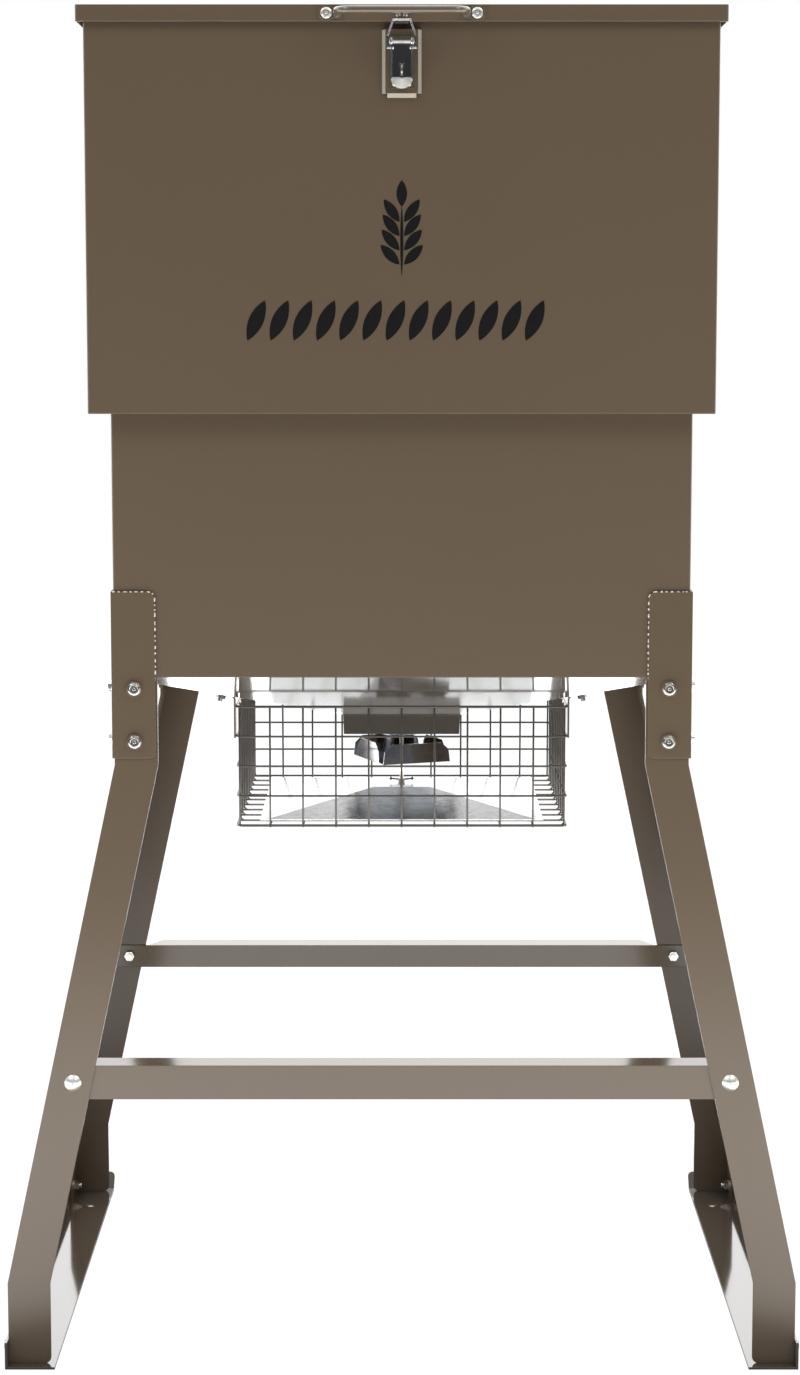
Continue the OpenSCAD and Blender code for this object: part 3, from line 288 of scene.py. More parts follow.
TAN = [0.112, 0.082, 0.053, 1.0]
PALE_STEEL = (0.70, 0.71, 0.76)
BRUSHED = (6.0, 1.0, 1.0)
LEVER_TIP = 11.5 * MM
MATERIALS = {
    "painted_sheet": powder_coat("painted_sheet", TAN),
    "zinc_steel": zinc_plate("zinc_steel", (0.66, 0.65, 0.62), 0.16),
    "galvanised": galvanised("galvanised"),
    "dark_steel": zinc_plate("dark_steel", (0.16, 0.16, 0.17), 0.34),
    "bronze": zinc_plate("bronze", (0.60, 0.42, 0.22), 0.32),
    "black_plastic": plastic("black_plastic", linear(38, 39, 40)),
    "red_plastic": plastic("red_plastic", linear(168, 34, 26), 0.30),
    "circuit_board": circuit_board("circuit_board"),
    "rubber": plastic("rubber", linear(30, 30, 31), 0.62, 700.0, 0.04),
}

# Finishes of the nodes that differ from the rest of their slot.
box_paint = powder_coat("box_paint", TAN, roughness=0.30, edge_radius=2.6)
gloss_paint = powder_coat("gloss_paint", TAN, roughness=0.12)
# funnel_shade_paint is the tan coat with a darker base colour, a painted shade under the hopper, and a clear
# lacquer.
funnel_shade_paint = powder_coat("funnel_shade_paint", [0.085, 0.070, 0.052, 1.0], roughness=0.12, peel=0.002,
                           shine=0.7, lacquer=0.5)
# rim_highlight_paint: faces sloping away from the front take the light slope_highlight_tone, a painted
# highlight.
rim_highlight_paint = powder_coat("rim_highlight_paint", TAN, roughness=0.16, peel=0.002, edge_radius=1.6,
                        slope_highlight_tone=[0.42, 0.38, 0.32, 1.0])
# bracket_paint: its lighter edge_highlight_tone on the bracket edges is a painted highlight.
bracket_paint = powder_coat("bracket_paint", TAN, edge_radius=1.5, edge_highlight_tone=[0.36, 0.32, 0.26, 1.0])
# handle_paint: its near-white edge_highlight_tone on the handle's edges is a painted highlight.
handle_paint = powder_coat("handle_paint", TAN, roughness=0.12, peel=0.002, edge_radius=1.6,
                           shine=0.8, lacquer=0.6, edge_highlight_tone=[0.75, 0.72, 0.66, 1.0])
# rail_shade_paint is the tan coat with a darker base colour, a painted shade on the foot rails.
rail_shade_paint = powder_coat("rail_shade_paint", [0.070, 0.055, 0.040, 1.0], roughness=0.10, peel=0.002,
                         edge_radius=1.4, shine=0.8, lacquer=0.6)
cage_paint = powder_coat("cage_paint", [0.090, 0.078, 0.064, 1.0], roughness=0.18, peel=0.002,
                         edge_radius=0.3)
# weld_glint_paint: pale colour on the weld crowns, a painted glint.
weld_glint_paint = powder_coat("weld_glint_paint", [0.62, 0.60, 0.54, 1.0], roughness=0.25, peel=0.002,
                         edge_radius=0.2)
polished = zinc_plate("polished", PALE_STEEL, 0.12, BRUSHED, 1.1)
# lever_metal: the lowest LEVER_TIP of the lever, its rounded tip, is painted pale, a painted highlight.
lever_metal = zinc_plate("lever_metal", PALE_STEEL, 0.12, BRUSHED, 1.1, lowest("latch_lever") + LEVER_TIP)
bright_zinc = zinc_plate("bright_zinc", (0.88, 0.87, 0.84), 0.34)
grey_zinc = zinc_plate("grey_zinc", (0.34, 0.33, 0.31), 0.30)
spinner_zinc = zinc_plate("spinner_zinc", (0.34, 0.35, 0.39), 0.08)
emblem_black = plastic("emblem_black", linear(12, 12, 12), 0.7, shine=0.15)
display_grey = plastic("display_grey", linear(158, 170, 150), 0.20, 900.0, 0.004)

OWN_FINISH = {
    "upper_hopper": box_paint, "lower_hopper": box_paint, "lid": box_paint,
    "control_box": box_paint, "control_door": box_paint,
    "front_brace": gloss_paint, "rear_brace": gloss_paint,
    "funnel": funnel_shade_paint, "latch_standoff": rim_highlight_paint, "corner_brackets": bracket_paint,
    "lid_handle": handle_paint, "foot_rail_left": rail_shade_paint, "foot_rail_right": rail_shade_paint,
    "latch_bail": polished, "latch_lever": lever_metal, "latch_base": grey_zinc,
    "cage_bolts": grey_zinc, "brace_bolts": bright_zinc, "spinner_plate": spinner_zinc,
}

for row in frame["record"]["subparts"]:
    mesh = frame["nodes"][row["node"]].data
    mesh.materials.clear()
    mesh.materials.append(OWN_FINISH.get(row["node"], MATERIALS[row["material_slot"]]))

# ---------- mesh helpers ----------


def piece(name, mesh, material, body):
    """Object from a mesh, riding on a body."""
    obj = bpy.data.objects.new(name, mesh)
    bpy.context.scene.collection.objects.link(obj)
    mesh.materials.append(material)
    for face in mesh.polygons:
        face.use_smooth = True
    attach(obj, body)
    return obj


def skin(bm, rings, closed=False):
    """Faces from each ring to the next, and a cap at each end unless the last ring meets the first."""
    following = rings[1:] + rings[:1] if closed else rings[1:]
    for a, b in zip(rings, following):
        for k in range(len(a)):
            n = (k + 1) % len(a)
            bm.faces.new((a[k], a[n], b[n], b[k]))
    if not closed:
        bm.faces.new(list(reversed(rings[0])))
        bm.faces.new(rings[-1])


def tube(bm, points, radius, sides=10, closed=False):
    """Round wire through the points, with mitred turns."""
    points = [Vector(p) for p in points]
    count = len(points)
    rings = []
    up = None
    for i, p in enumerate(points):
        before = points[i - 1] if (closed or i > 0) else p - (points[i + 1] - p)
        after = points[(i + 1) % count] if (closed or i < count - 1) else p + (p - points[i - 1])
        tangent = ((p - before).normalized() + (after - p).normalized()).normalized()
        if up is None:
            up = Vector((0, 0, 1)) if abs(tangent.z) < 0.9 else Vector((1, 0, 0))
        side = tangent.cross(up).normalized()
        up = side.cross(tangent).normalized()
        ring = []
        for k in range(sides):
            a = 2 * math.pi * k / sides
            ring.append(bm.verts.new(p + radius * (math.cos(a) * side + math.sin(a) * up)))
        rings.append(ring)
    skin(bm, rings, closed)


def nugget(bm, place, size):
    """Small flattened weld lump."""
    made = bmesh.ops.create_icosphere(bm, subdivisions=1, radius=1.0)
    matrix = Matrix.Translation(place) @ Matrix.Diagonal((*size, 1.0))
    bmesh.ops.transform(bm, matrix=matrix, verts=made["verts"])


def mesh_from(bm, name):
    """Mesh from a finished bmesh, its faces turned outwards."""
    bmesh.ops.recalc_face_normals(bm, faces=bm.faces)
    mesh = bpy.data.meshes.new(name)
    bm.to_mesh(mesh)
    bm.free()
    return mesh


def rounded_square(half, radius, z, steps=4):
    """Points around a square with round corners."""
    points = []
    for i in range(4):
        a0 = math.pi / 2 * i
        centre = Vector((half - radius, half - radius, 0))
        centre.rotate(Matrix.Rotation(a0, 3, "Z"))
        for k in range(steps + 1):
            a = a0 + math.pi / 2 * k / steps
            points.append(centre + Vector((radius * math.cos(a), radius * math.sin(a), z)))
    return points


# ---------- wire cage ----------


CAGE_LOW, CAGE_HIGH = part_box("varmint_cage")
CAGE_HALF = CAGE_HIGH.y
CAGE_FLOOR = CAGE_LOW.z
CAGE_TOP = CAGE_FLOOR + 150 * MM
CAGE_MESHES, CAGE_ROWS = 10, 4
CAGE_CORNER = 7 * MM
WIRE = 1.25 * MM
RAIL = 1.6 * MM
WIRE_WOBBLE = 0.25 * MM
WIRE_BEND = 3 * MM
WELD_LUMP = (1.9 * MM, 1.9 * MM, 1.7 * MM)
EAR_WIDTH, EAR_THICK = 20 * MM, 2.2 * MM
EAR_DROP = 40 * MM
EAR_FROM_CORNER = 12 * MM
FUNNEL_FALL, FUNNEL_RUN = 81 * MM, 260.4 * MM


def build_cage():
    """Welded wire basket with round wires, heavier rails and a lump at every weld."""
    bm = bmesh.new()
    rng = random.Random(11)
    z0, z1 = CAGE_FLOOR + RAIL, CAGE_TOP - RAIL
    half = CAGE_HALF - RAIL
    heights = [z0 + (z1 - z0) * row / CAGE_ROWS for row in range(CAGE_ROWS + 1)]
    for z in heights:
        radius = RAIL if z in (heights[0], heights[-1]) else WIRE
        tube(bm, rounded_square(half, CAGE_CORNER, z), radius, closed=True)
    pitch = 2 * half / CAGE_MESHES
    inner = half - 1.7 * WIRE
    for side in range(4):
        turn = Matrix.Rotation(math.pi / 2 * side, 3, "Z")
        for i in range(CAGE_MESHES):
            u = -half + pitch * i
            if i == 0:
                u += WIRE_BEND
            wobble = rng.uniform(-1, 1) * WIRE_WOBBLE
            top = turn @ Vector((u + wobble, -inner, z1))
            foot = turn @ Vector((u - wobble, -inner, z0 + WIRE_BEND))
            turn_in = turn @ Vector((u - wobble, -inner + WIRE_BEND, z0))
            tube(bm, (top, foot, turn_in), WIRE)
            for z in heights:
                nugget(bm, turn @ Vector((u, -half + 0.4 * MM, z)), WELD_LUMP)
    for i in range(1, CAGE_MESHES):
        v = -half + pitch * i
        tube(bm, ((-half, v, z0 - 0.3 * MM), (half, v, z0 - 0.3 * MM)), WIRE)
        tube(bm, ((v, -half, z0 - WIRE), (v, half, z0 - WIRE)), WIRE)
    return mesh_from(bm, "cage_wires")


def ear_profile():
    """Points of an ear as (inner, outer) pairs of (x, z): up the cage's side, then out along the funnel."""
    x0, x1 = CAGE_HALF - 0.3 * MM, CAGE_HIGH.x
    z_turn = CAGE_HIGH.z - (x1 - x0) * FUNNEL_FALL / FUNNEL_RUN
    path = [
        (x0, CAGE_TOP - EAR_DROP), (x0, z_turn - 4 * MM), (x0 + 1.2 * MM, z_turn - 1 * MM),
        (x0 + 4 * MM, z_turn + 1 * MM), (x1, CAGE_HIGH.z),
    ]
    pairs = []
    for i, (x, z) in enumerate(path):
        before = Vector(path[max(i - 1, 0)])
        after = Vector(path[min(i + 1, len(path) - 1)])
        d = (after - before).normalized()
        pairs.append(((x, z), (x + d.y * EAR_THICK, z - d.x * EAR_THICK)))
    return pairs


def build_ears():
    """Four bent straps that hang the cage from the funnel."""
    bm = bmesh.new()
    for sx in (-1, 1):
        for sy in (-1, 1):
            middle = sy * (CAGE_HALF - EAR_FROM_CORNER)
            rings = []
            for inner, outer in ear_profile():
                ring = []
                for (x, z), edge in ((inner, -1), (inner, 1), (outer, 1), (outer, -1)):
                    ring.append(bm.verts.new((sx * x, middle + edge * EAR_WIDTH / 2, z)))
                rings.append(ring)
            skin(bm, rings)
    return mesh_from(bm, "cage_ears")


cage = piece("cage_wires", build_cage(), cage_paint, "stand")
ears = piece("cage_ears", build_ears(), box_paint, "stand")
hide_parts("varmint_cage")

# ---------- weld beads ----------

# Ranges in millimetres, drawn anew for each speck.
SPECK_START = (0.5, 2.0)
SPECK_LENGTH = (1.0, 5.0)
SPECK_RADIUS = (0.55, 0.9)
SPECK_RISE = (-0.15, 0.25)
SPECK_GAP = (2.2, 5.5)
FLANGE_WIDTH = 51 * MM
FLANGE_CORNER = 8 * MM
FLANGE_LIFT = 2.0 * MM
THROAT_HALF = 74 * MM
THROAT_HEIGHT = 25 * MM


def bead(bm, start, end, out_a, out_b, size, seed):
    """Rippled fillet bead from start to end, in the corner between directions out_a and out_b."""
    pitch = 3.2 * MM
    sides = 8
    along = end - start
    length = along.length
    steps = max(4, int(length / (pitch / 4)))
    rng = random.Random(seed)
    drift = [rng.uniform(-1, 1) for _ in range(steps // 8 + 3)]
    rings = []
    for i in range(steps + 1):
        s = i / steps
        j = s * (len(drift) - 2)
        wander = drift[int(j)] * (1 - j % 1) + drift[int(j) + 1] * (j % 1)
        ripple = 0.86 + 0.14 * math.sin(2 * math.pi * length * s / pitch)
        taper = min(1.0, 0.35 + 4 * min(s, 1 - s) * length / (6 * size))
        r = size * ripple * taper * (1 + 0.16 * wander)
        centre = start + along * s + 0.12 * size * wander * out_a
        ring = []
        for k in range(sides):
            a = 2 * math.pi * k / sides
            ring.append(bm.verts.new(centre + r * (math.cos(a) * out_a + 0.75 * math.sin(a) * out_b)))
        rings.append(ring)
    skin(bm, rings)


def weld_specks(bm, path, out, rng):
    """Short crowns of a weld along a path, with uneven lengths and gaps, which take a pale painted glint."""
    path = [Vector(p) for p in path]
    spans = [(b - a).length for a, b in zip(path, path[1:])]
    total = sum(spans)

    def spot(s):
        for a, b, span in zip(path, path[1:], spans):
            if s <= span:
                return a + (b - a) * (s / span)
            s -= span
        return path[-1].copy()

    s = rng.uniform(*SPECK_START) * MM
    while s < total - 2 * MM:
        end = min(s + rng.uniform(*SPECK_LENGTH) * MM, total)
        radius = rng.uniform(*SPECK_RADIUS) * MM
        points = []
        for k in range(5):
            rise = Vector(out) * rng.uniform(*SPECK_RISE) * MM
            points.append(spot(s + (end - s) * k / 4) + rise)
        tube(bm, points, radius, sides=8)
        nugget(bm, points[2], (radius * 1.5,) * 3)
        s = end + rng.uniform(*SPECK_GAP) * MM


def flange_path(reach, top, bottom):
    """Edge of a flange as (across, height) points: up its inner side, round the corner, out to reach."""
    inner = reach - FLANGE_WIDTH - 0.3 * MM
    path = [(inner, bottom)]
    for k in range(7):
        a = math.radians(15 * k)
        across = inner + FLANGE_CORNER * (1 - math.cos(a))
        path.append((across, top - FLANGE_CORNER * (1 - math.sin(a))))
    return path + [(reach - 2 * MM, top)]


def build_bracket_welds():
    """Welds round the inner edge, the round corner and the top of each bracket flange."""
    bm = bmesh.new()
    rng = random.Random(23)
    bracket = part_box("corner_brackets")[1]
    tank_low, tank_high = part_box("lower_hopper")
    bottom = tank_low.z + 2 * MM
    for sx in (-1, 1):
        for sy in (-1, 1):
            front = flange_path(bracket.x, bracket.z, bottom)
            wall = sy * (tank_high.y + FLANGE_LIFT)
            weld_specks(bm, [(sx * u, wall, z) for u, z in front], (0, sy, 0), rng)
            flank = flange_path(bracket.y, bracket.z, bottom)
            wall = sx * (tank_high.x + FLANGE_LIFT)
            weld_specks(bm, [(wall, sy * u, z) for u, z in flank], (sx, 0, 0), rng)
    return mesh_from(bm, "bracket_welds")


def build_funnel_welds():
    """Bead where the throat joins the funnel."""
    bm = bmesh.new()
    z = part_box("funnel")[0].z + THROAT_HEIGHT
    for side in range(4):
        turn = Matrix.Rotation(math.pi / 2 * side, 3, "Z")
        start = turn @ Vector((-THROAT_HALF, -THROAT_HALF, z))
        end = turn @ Vector((THROAT_HALF, -THROAT_HALF, z))
        bead(bm, start, end, turn @ Vector((0, -1, 0)), Vector((0, 0, 1)), 1.5 * MM, 50 + side)
    return mesh_from(bm, "funnel_welds")


# The bracket welds' pale colour is a painted glint.
piece("bracket_welds", build_bracket_welds(), weld_glint_paint, "stand")
piece("funnel_welds", build_funnel_welds(), gloss_paint, "stand")

# ---------- bolts, nuts and rivets ----------


def solids(node):
    """Corners of each separate solid in a node, solid by solid in the order of the mesh."""
    bm = bmesh.new()
    bm.from_mesh(frame["nodes"][node].data)
    bmesh.ops.remove_doubles(bm, verts=bm.verts, dist=1e-6)
    matrix = frame["nodes"][node].matrix_world
    found = set()
    groups = []
    for first in bm.verts:
        if first in found:
            continue
        found.add(first)
        stack = [first]
        group = []
        while stack:
            vertex = stack.pop()
            group.append(matrix @ vertex.co)
            for edge in vertex.link_edges:
                other = edge.other_vert(vertex)
                if other not in found:
                    found.add(other)
                    stack.append(other)
        groups.append(group)
    bm.free()
    return groups


def lathe(bm, place, rings, turn, reflection_paint_past):
    """Closed solid from (radius, height, corner) rings, round or, where corner is set, a hexagon cut at it.

    Faces past the radius reflection_paint_past take the second material; on the frame bolts that is tan paint
    on the washers, a painted dark reflection.
    """
    count = 36
    loops = []
    for radius, height, corner in rings:
        loop = []
        for k in range(count):
            a = 2 * math.pi * k / count
            r = radius
            if corner:
                r = min(radius / math.cos((a % (math.pi / 3)) - math.pi / 6), corner)
            spot = Vector((r * math.cos(a + turn), r * math.sin(a + turn), height))
            loop.append(bm.verts.new(place @ spot))
        loops.append(loop)
    for i, (a, b) in enumerate(zip(loops, loops[1:])):
        dark_reflection_face = max(rings[i][0], rings[i + 1][0]) > reflection_paint_past
        for k in range(count):
            n = (k + 1) % count
            bm.faces.new((a[k], a[n], b[n], b[k])).material_index = int(dark_reflection_face)
    bm.faces.new(list(reversed(loops[0])))
    bm.faces.new(loops[-1])


def head_rings(apothem, low, corner):
    """Rings of a chamfered hexagon from the height low up to 0, with a slightly dished top."""
    return [
        (apothem, low, corner), (apothem, -0.9 * MM, corner), (apothem * 0.99, -0.35 * MM, apothem * 1.07),
        (apothem * 0.93, 0, 0), (apothem * 0.80, 0, 0), (apothem * 0.72, -0.5 * MM, 0),
        (apothem * 0.30, -0.6 * MM, 0), (apothem * 0.22, -0.2 * MM, 0),
    ]


def washer_rings(shank_r, washer_r, head_r, top):
    """Rings of a washer with rounded rims under a head, its upper face at the height top."""
    return [
        (shank_r, top - 1.6 * MM, 0), (washer_r - 0.3 * MM, top - 1.6 * MM, 0), (washer_r, top - 1.3 * MM, 0),
        (washer_r, top - 0.3 * MM, 0), (washer_r - 0.4 * MM, top, 0), (head_r * 1.06, top, 0),
        (head_r * 1.02, top + 0.7 * MM, 0),
    ]


def measure_bolt(points):
    """Frame at the top of a bolt's head, +Z outwards; its length; radii of head, shank and widest part."""
    low = [min(p[i] for p in points) for i in range(3)]
    high = [max(p[i] for p in points) for i in range(3)]
    middle = [(a + b) / 2 for a, b in zip(low, high)]
    # A bolt has its fewest distinct levels along its own axis.
    axis = min(range(3), key=lambda i: len({round(p[i], 5) for p in points}))
    radius_at = {}
    for p in points:
        level = round(p[axis], 5)
        radius = math.hypot(*(p[i] - middle[i] for i in range(3) if i != axis))
        radius_at[level] = max(radius_at.get(level, 0), radius)
    head, tail, way = high[axis], low[axis], 1
    if radius_at[round(head, 5)] <= radius_at[round(tail, 5)]:
        head, tail, way = tail, head, -1
    out = Vector([way if i == axis else 0 for i in range(3)])
    up = Vector((0, 0, 1))
    place = Matrix((up, out.cross(up), out)).transposed().to_4x4()
    middle[axis] = head
    place.translation = middle
    radii = radius_at[round(head, 5)], radius_at[round(tail, 5)], max(radius_at.values())
    return place, abs(head - tail), radii


def build_hex_bolts(node, head_h):
    """Chamfered hex heads, their washers and their shanks, one for each bolt of a CAD node."""
    bm = bmesh.new()
    rng = random.Random(5)
    for points in solids(node):
        place, length, (head_r, shank_r, widest) = measure_bolt(points)
        rings = [(shank_r * 0.85, -length, 0), (shank_r, -length + 0.8 * MM, 0)]
        if widest > head_r * 1.1:
            rings += washer_rings(shank_r, widest, head_r, -head_h)
        else:
            rings += [(shank_r, -head_h, 0), (head_r, -head_h, 0), (head_r, -head_h + 0.6 * MM, 0)]
        rings += head_rings(head_r * math.cos(math.pi / 6), -head_h + 0.9 * MM, head_r * 0.985)
        lathe(bm, place, rings, rng.uniform(0, math.pi / 3), head_r * 1.08)
    return mesh_from(bm, node)


def sharpen(obj, angle=32):
    """Smooth shading that keeps edges sharper than the angle."""
    limit = math.radians(angle)
    bm = bmesh.new()
    bm.from_mesh(obj.data)
    for edge in bm.edges:
        edge.smooth = len(edge.link_faces) == 2 and edge.calc_face_angle(0) < limit
    for face in bm.faces:
        face.smooth = True
    bm.to_mesh(obj.data)
    bm.free()


frame_bolts = build_hex_bolts("hex_bolts", 5 * MM)
frame_bolts = piece("frame_bolts", frame_bolts, MATERIALS["zinc_steel"], "stand")
# The washer rings take the tan gloss paint, a painted reflection of the dark front.
frame_bolts.data.materials.append(gloss_paint)
handle_screws = build_hex_bolts("handle_bolts", 4 * MM)
handle_screws = piece("handle_screws", handle_screws, bright_zinc, "lid")
for obj in (frame_bolts, handle_screws, ears):
    sharpen(obj)
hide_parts("hex_bolts")
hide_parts("handle_bolts")

# ---------- emblem ----------

# Heights below the top of the upper box.
EAR_TIP, EAR_FOOT = 193 * MM, 302 * MM
SEED_ROW = 374 * MM
SEEDS = 13
SEED_PITCH = 26.5 * MM
SEED_LENGTH, SEED_WIDTH = 50 * MM, 17 * MM
SEED_LEAN = math.radians(24)


def leaf(bm, x, z, length, width, lean, y):
    """Flat pointed seed shape, its foot at (x, z), standing a hair proud of the front panel."""
    count = 12
    outline = []
    for k in range(2 * count):
        t = 1 - abs(1 - k / count)
        side = 1 if k <= count else -1
        outline.append((side * 0.5 * width * math.sin(math.pi * t) ** 0.8, length * t))
    front, back = [], []
    for u, v in outline:
        px = x + u * math.cos(lean) + v * math.sin(lean)
        pz = z - u * math.sin(lean) + v * math.cos(lean)
        front.append(bm.verts.new((px, y - 0.25 * MM, pz)))
        back.append(bm.verts.new((px, y - 0.02 * MM, pz)))
    bm.faces.new(front)
    bm.faces.new(list(reversed(back)))
    for k in range(len(outline)):
        n = (k + 1) % len(outline)
        bm.faces.new((front[n], front[k], back[k], back[n]))


def build_emblem():
    """Plain ear of grain over a row of seeds."""
    bm = bmesh.new()
    low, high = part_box("upper_hopper")
    y = low.y
    foot = high.z - EAR_FOOT
    leaf(bm, 0, high.z - EAR_TIP - 30 * MM, 30 * MM, 12 * MM, 0, y)
    leaf(bm, 0, foot, 82 * MM, 3.6 * MM, 0, y)
    for row in range(4):
        z = foot + (14 + 16 * row) * MM
        lean = math.radians(44 - 3 * row)
        for side in (-1, 1):
            leaf(bm, side * 2.6 * MM, z, 31 * MM, 11.5 * MM, side * lean, y)
    for i in range(SEEDS):
        x = (i - (SEEDS - 1) / 2) * SEED_PITCH - 8 * MM - 23 * MM * math.sin(SEED_LEAN)
        leaf(bm, x, high.z - SEED_ROW, SEED_LENGTH, SEED_WIDTH, SEED_LEAN, y)
    return mesh_from(bm, "emblem")


emblem = piece("emblem", build_emblem(), emblem_black, "stand")
for face in emblem.data.polygons:
    face.use_smooth = False

# ---------- inside the control box ----------


def slab(bm, low, high):
    """Axis-aligned block between two corners."""
    made = bmesh.ops.create_cube(bm, size=1.0)
    low, high = Vector(low), Vector(high)
    matrix = Matrix.Translation((low + high) / 2) @ Matrix.Diagonal((*(high - low), 1.0))
    bmesh.ops.transform(bm, matrix=matrix, verts=made["verts"])


DISPLAY_WIDE, DISPLAY_TALL = 60 * MM, 22 * MM
DISPLAY_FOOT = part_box("timer_board")[1].z - 30 * MM
DISPLAY_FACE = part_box("timer_board")[1].y
DIGIT_WIDE, DIGIT_TALL, BAR = 5.6 * MM, 10.5 * MM, 1.1 * MM
DIGITS_LEFT = -10.5 * MM


def build_display():
    """Pale display panel."""
    bm = bmesh.new()
    x = DISPLAY_WIDE / 2 - 0.6 * MM
    z0, z1 = DISPLAY_FOOT + 0.6 * MM, DISPLAY_FOOT + DISPLAY_TALL - 0.6 * MM
    slab(bm, (-x, DISPLAY_FACE - 0.05 * MM, z0), (x, DISPLAY_FACE + 0.12 * MM, z1))
    return mesh_from(bm, "display")


def build_digits():
    """Seven-segment clock digits, read from behind the feeder."""
    bm = bmesh.new()
    segments = {"0": "abcdef", "6": "acdefg", "3": "abcdg"}
    w, h, t = DIGIT_WIDE, DIGIT_TALL, BAR
    bars = {
        "a": (0, h - t, w, h), "g": (0, h / 2 - t / 2, w, h / 2 + t / 2), "d": (0, 0, w, t),
        "f": (0, h / 2, t, h), "e": (0, 0, t, h / 2), "b": (w - t, h / 2, w, h), "c": (w - t, 0, w, h / 2),
    }
    base = DISPLAY_FOOT + (DISPLAY_TALL - h) / 2
    y0, y1 = DISPLAY_FACE + 0.10 * MM, DISPLAY_FACE + 0.22 * MM
    for digit, start in (("6", 0.0), ("3", 10.0), ("0", 18.0)):
        left = DIGITS_LEFT + start * MM
        for name in segments[digit]:
            u0, v0, u1, v1 = bars[name]
            slab(bm, (-(left + u1), y0, base + v0), (-(left + u0), y1, base + v1))
    colon = -(DIGITS_LEFT + 7.6 * MM)
    for v in (0.3, 0.65):
        slab(bm, (colon - 0.6 * MM, y0, base + v * h), (colon + 0.6 * MM, y1, base + v * h + t))
    return mesh_from(bm, "digits")


def build_lead(side):
    """Wire from a battery terminal up into the timer case, with a sleeve on the terminal."""
    bm = bmesh.new()
    low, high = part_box("battery")
    case_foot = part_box("timer_case")[0].z
    x = low.x + 15.5 * MM if side < 0 else high.x - 15.5 * MM
    y = low.y + 20 * MM
    end_x = side * 14 * MM - 12 * MM
    gap = case_foot - high.z
    # Along the wire: x, step back from the terminal, height as a share of the gap.
    route = (
        (x, 0, 0.30), (x - side * 4 * MM, 0, 0.52), (x - side * 12 * MM, 1 * MM, 0.60),
        (end_x + side * 9 * MM, 4 * MM, 0.64), (end_x + side * 2 * MM, 5 * MM, 0.78),
    )
    points = [(x, y, high.z - 1 * MM)]
    points += [(px, y - back, high.z + share * gap) for px, back, share in route]
    points += [(end_x, y - 5 * MM, case_foot + 1 * MM)]
    tube(bm, points, 1.5 * MM, sides=12)
    slab(bm, (x - 4.2 * MM, y - 2.2 * MM, high.z - 7 * MM), (x + 4.2 * MM, y + 2.2 * MM, high.z + 3 * MM))
    return mesh_from(bm, "lead")


for obj in (
    piece("display", build_display(), display_grey, "stand"),
    piece("digits", build_digits(), emblem_black, "stand"),
    piece("lead_black", build_lead(1), MATERIALS["rubber"], "stand"),
    piece("lead_red", build_lead(-1), MATERIALS["red_plastic"], "stand"),
):
    sharpen(obj)

# ---------- studio ----------

# Light from the surroundings: (place from front 0 to back 1, share of BACK_LEVEL), and more from above.
FRONT_TO_BACK = ((0.0, 0.01), (0.4, 0.03), (0.5, 0.5), (0.6, 1.0), (1.0, 1.0))
BACK_LEVEL = 2.4
UPPER_EDGE = (0.10, 0.45)
UPPER_LEVEL = 0.75
# Glow of the floor in front, round the feeder and behind it, with the places where it changes.
FLOOR_LEVEL = (0.05, 3.0, 4.2)
FLOOR_EDGE = (-3.2, -1.7)
BACK_EDGE = (0.3, 1.0)
# Shade under the feeder: half sizes of its oval, its soft edge as a share of them, and what it leaves.
UNDER_SIZE = (0.80, 0.64)
UNDER_EDGE = (0.95, 1.12)
UNDER_LEVEL = 0.08
FLOOR_HALF = 12.0
KEY_PLACE = (2.2, -2.8, 4.0)
KEY_SIZE = 1.6
KEY_POWER = 36
CAMERA_PLACE = (-2 * MM, -3.781, 1.2407)
CAMERA_TILT = math.radians(83)
CAMERA_LENS = 77.4
WHITE = (1, 1, 1, 1)


def surroundings(scene):
    """World that is white to the camera and otherwise bright at the back and sides, dark in front."""
    scene.world = bpy.data.worlds.new("studio")
    g = Graph(scene.world)
    split = g.add("ShaderNodeSeparateXYZ")
    g.join(g.place, "Generated", split, "Vector")
    depth = g.spread(split, "Y", 0.0, 1.0, -1.0, 1.0)
    level = g.ramp(depth, "Result", FRONT_TO_BACK)
    upper = g.spread(split, "Z", 0.0, UPPER_LEVEL, *UPPER_EDGE)
    strength = g.add("ShaderNodeMath", operation="MULTIPLY_ADD")
    g.join(level, "Value", strength, 0)
    strength.inputs[1].default_value = BACK_LEVEL
    g.join(upper, "Result", strength, 2)
    around = g.add("ShaderNodeBackground")
    g.join(strength, "Value", around, "Strength")
    seen = g.add("ShaderNodeBackground", Color=WHITE, Strength=1.0)
    path = g.add("ShaderNodeLightPath")
    mix = g.add("ShaderNodeMixShader")
    g.join(path, "Is Camera Ray", mix, "Fac")
    g.join(around, "Background", mix, 1)
    g.join(seen, "Background", mix, 2)
    output = g.add("ShaderNodeOutputWorld")
    g.join(mix, "Shader", output, "Surface")


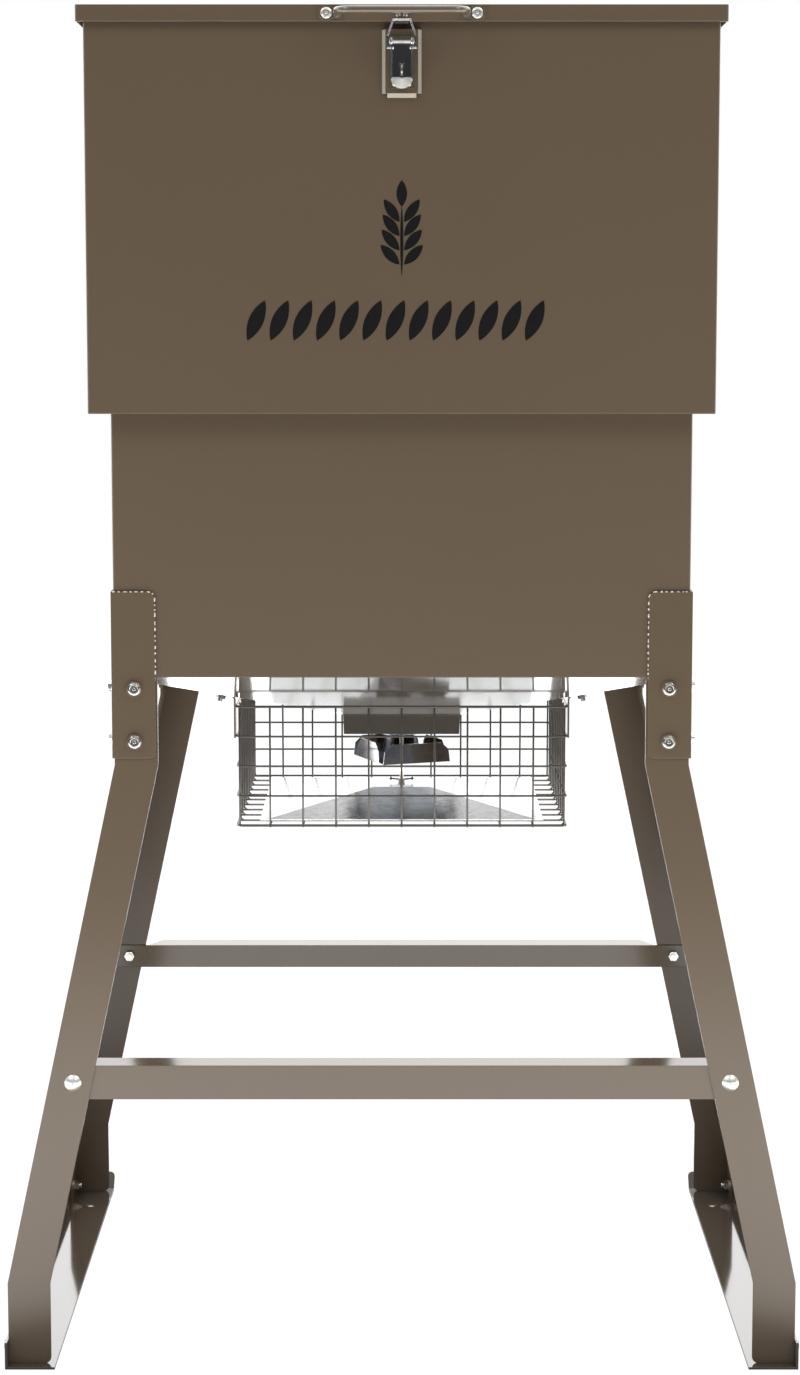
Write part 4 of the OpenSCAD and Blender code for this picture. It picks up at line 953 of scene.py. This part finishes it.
def floor_paint():
    """Floor that is white to the camera and otherwise glows less in front and under the feeder."""
    g = Surface("floor")
    cloud = g.spread(g.noise(2.0), "Fac", 0.0, 1.0)
    tone = g.mix(cloud, "Result", [0.05, 0.05, 0.05, 1], [0.06, 0.06, 0.06, 1])
    g.join(tone, "Result", g.bsdf, "Base Color")
    g.set("Roughness", 0.8)
    g.set("Specular IOR Level", 0.0)
    g.set("Emission Color", WHITE)
    in_front, round_feeder, behind = FLOOR_LEVEL
    split = g.add("ShaderNodeSeparateXYZ")
    g.join(g.place, "Object", split, "Vector")
    front = g.spread(split, "Y", in_front, round_feeder, *FLOOR_EDGE)
    back = g.spread(split, "Y", 0.0, behind - round_feeder, *BACK_EDGE)
    level = g.add("ShaderNodeMath", operation="ADD")
    g.join(front, "Result", level, 0)
    g.join(back, "Result", level, 1)
    squeeze = g.add("ShaderNodeMapping", Scale=(1 / UNDER_SIZE[0], 1 / UNDER_SIZE[1], 1.0))
    g.join(g.place, "Object", squeeze, "Vector")
    away = g.add("ShaderNodeVectorMath", operation="LENGTH")
    g.join(squeeze, "Vector", away, 0)
    under = g.spread(away, "Value", UNDER_LEVEL, 1.0, *UNDER_EDGE)
    glow = g.add("ShaderNodeMath", operation="MULTIPLY")
    g.join(level, "Value", glow, 0)
    g.join(under, "Result", glow, 1)
    path = g.add("ShaderNodeLightPath")
    pick = g.add("ShaderNodeMix", data_type="FLOAT")
    g.join(path, "Is Camera Ray", pick, 0)
    g.join(glow, "Value", pick, 2)
    pick.inputs[3].default_value = 1.0
    g.join(pick, 0, g.bsdf, "Emission Strength")
    return g.material


def lay_floor(scene):
    """Floor plane just under the feet."""
    corners = [(-1, -1), (1, -1), (1, 1), (-1, 1)]
    mesh = bpy.data.meshes.new("floor")
    mesh.from_pydata([(FLOOR_HALF * x, FLOOR_HALF * y, 0) for x, y in corners], [], [(0, 1, 2, 3)])
    mesh.materials.append(floor_paint())
    floor = bpy.data.objects.new("floor", mesh)
    scene.collection.objects.link(floor)
    floor.location.z = -0.5 * MM


def key_light(scene, name, side):
    """Soft light high in front, to the left (side -1) or the right (side 1)."""
    data = bpy.data.lights.new(name, "AREA")
    data.shape = "RECTANGLE"
    data.size = data.size_y = KEY_SIZE
    data.energy = KEY_POWER
    light = bpy.data.objects.new(name, data)
    scene.collection.objects.link(light)
    x, y, z = KEY_PLACE
    light.location = (side * x, y, z)
    aim = Vector((0, 0, 1.0)) - Vector((side * x, y, z))
    light.rotation_euler = aim.to_track_quat("-Z", "Y").to_euler()


def camera(scene):
    """The photograph's view: slightly above the middle, looking a little down."""
    data = bpy.data.cameras.new("camera")
    data.lens = CAMERA_LENS
    data.sensor_width = 36.0
    scene.camera = bpy.data.objects.new("camera", data)
    scene.collection.objects.link(scene.camera)
    scene.camera.location = CAMERA_PLACE
    scene.camera.rotation_euler = (CAMERA_TILT, 0, 0)


scene = bpy.context.scene
scene.view_settings.view_transform = "Standard"
scene.view_settings.look = "None"
surroundings(scene)
lay_floor(scene)
key_light(scene, "key_left", -1)
key_light(scene, "key_right", 1)
camera(scene)
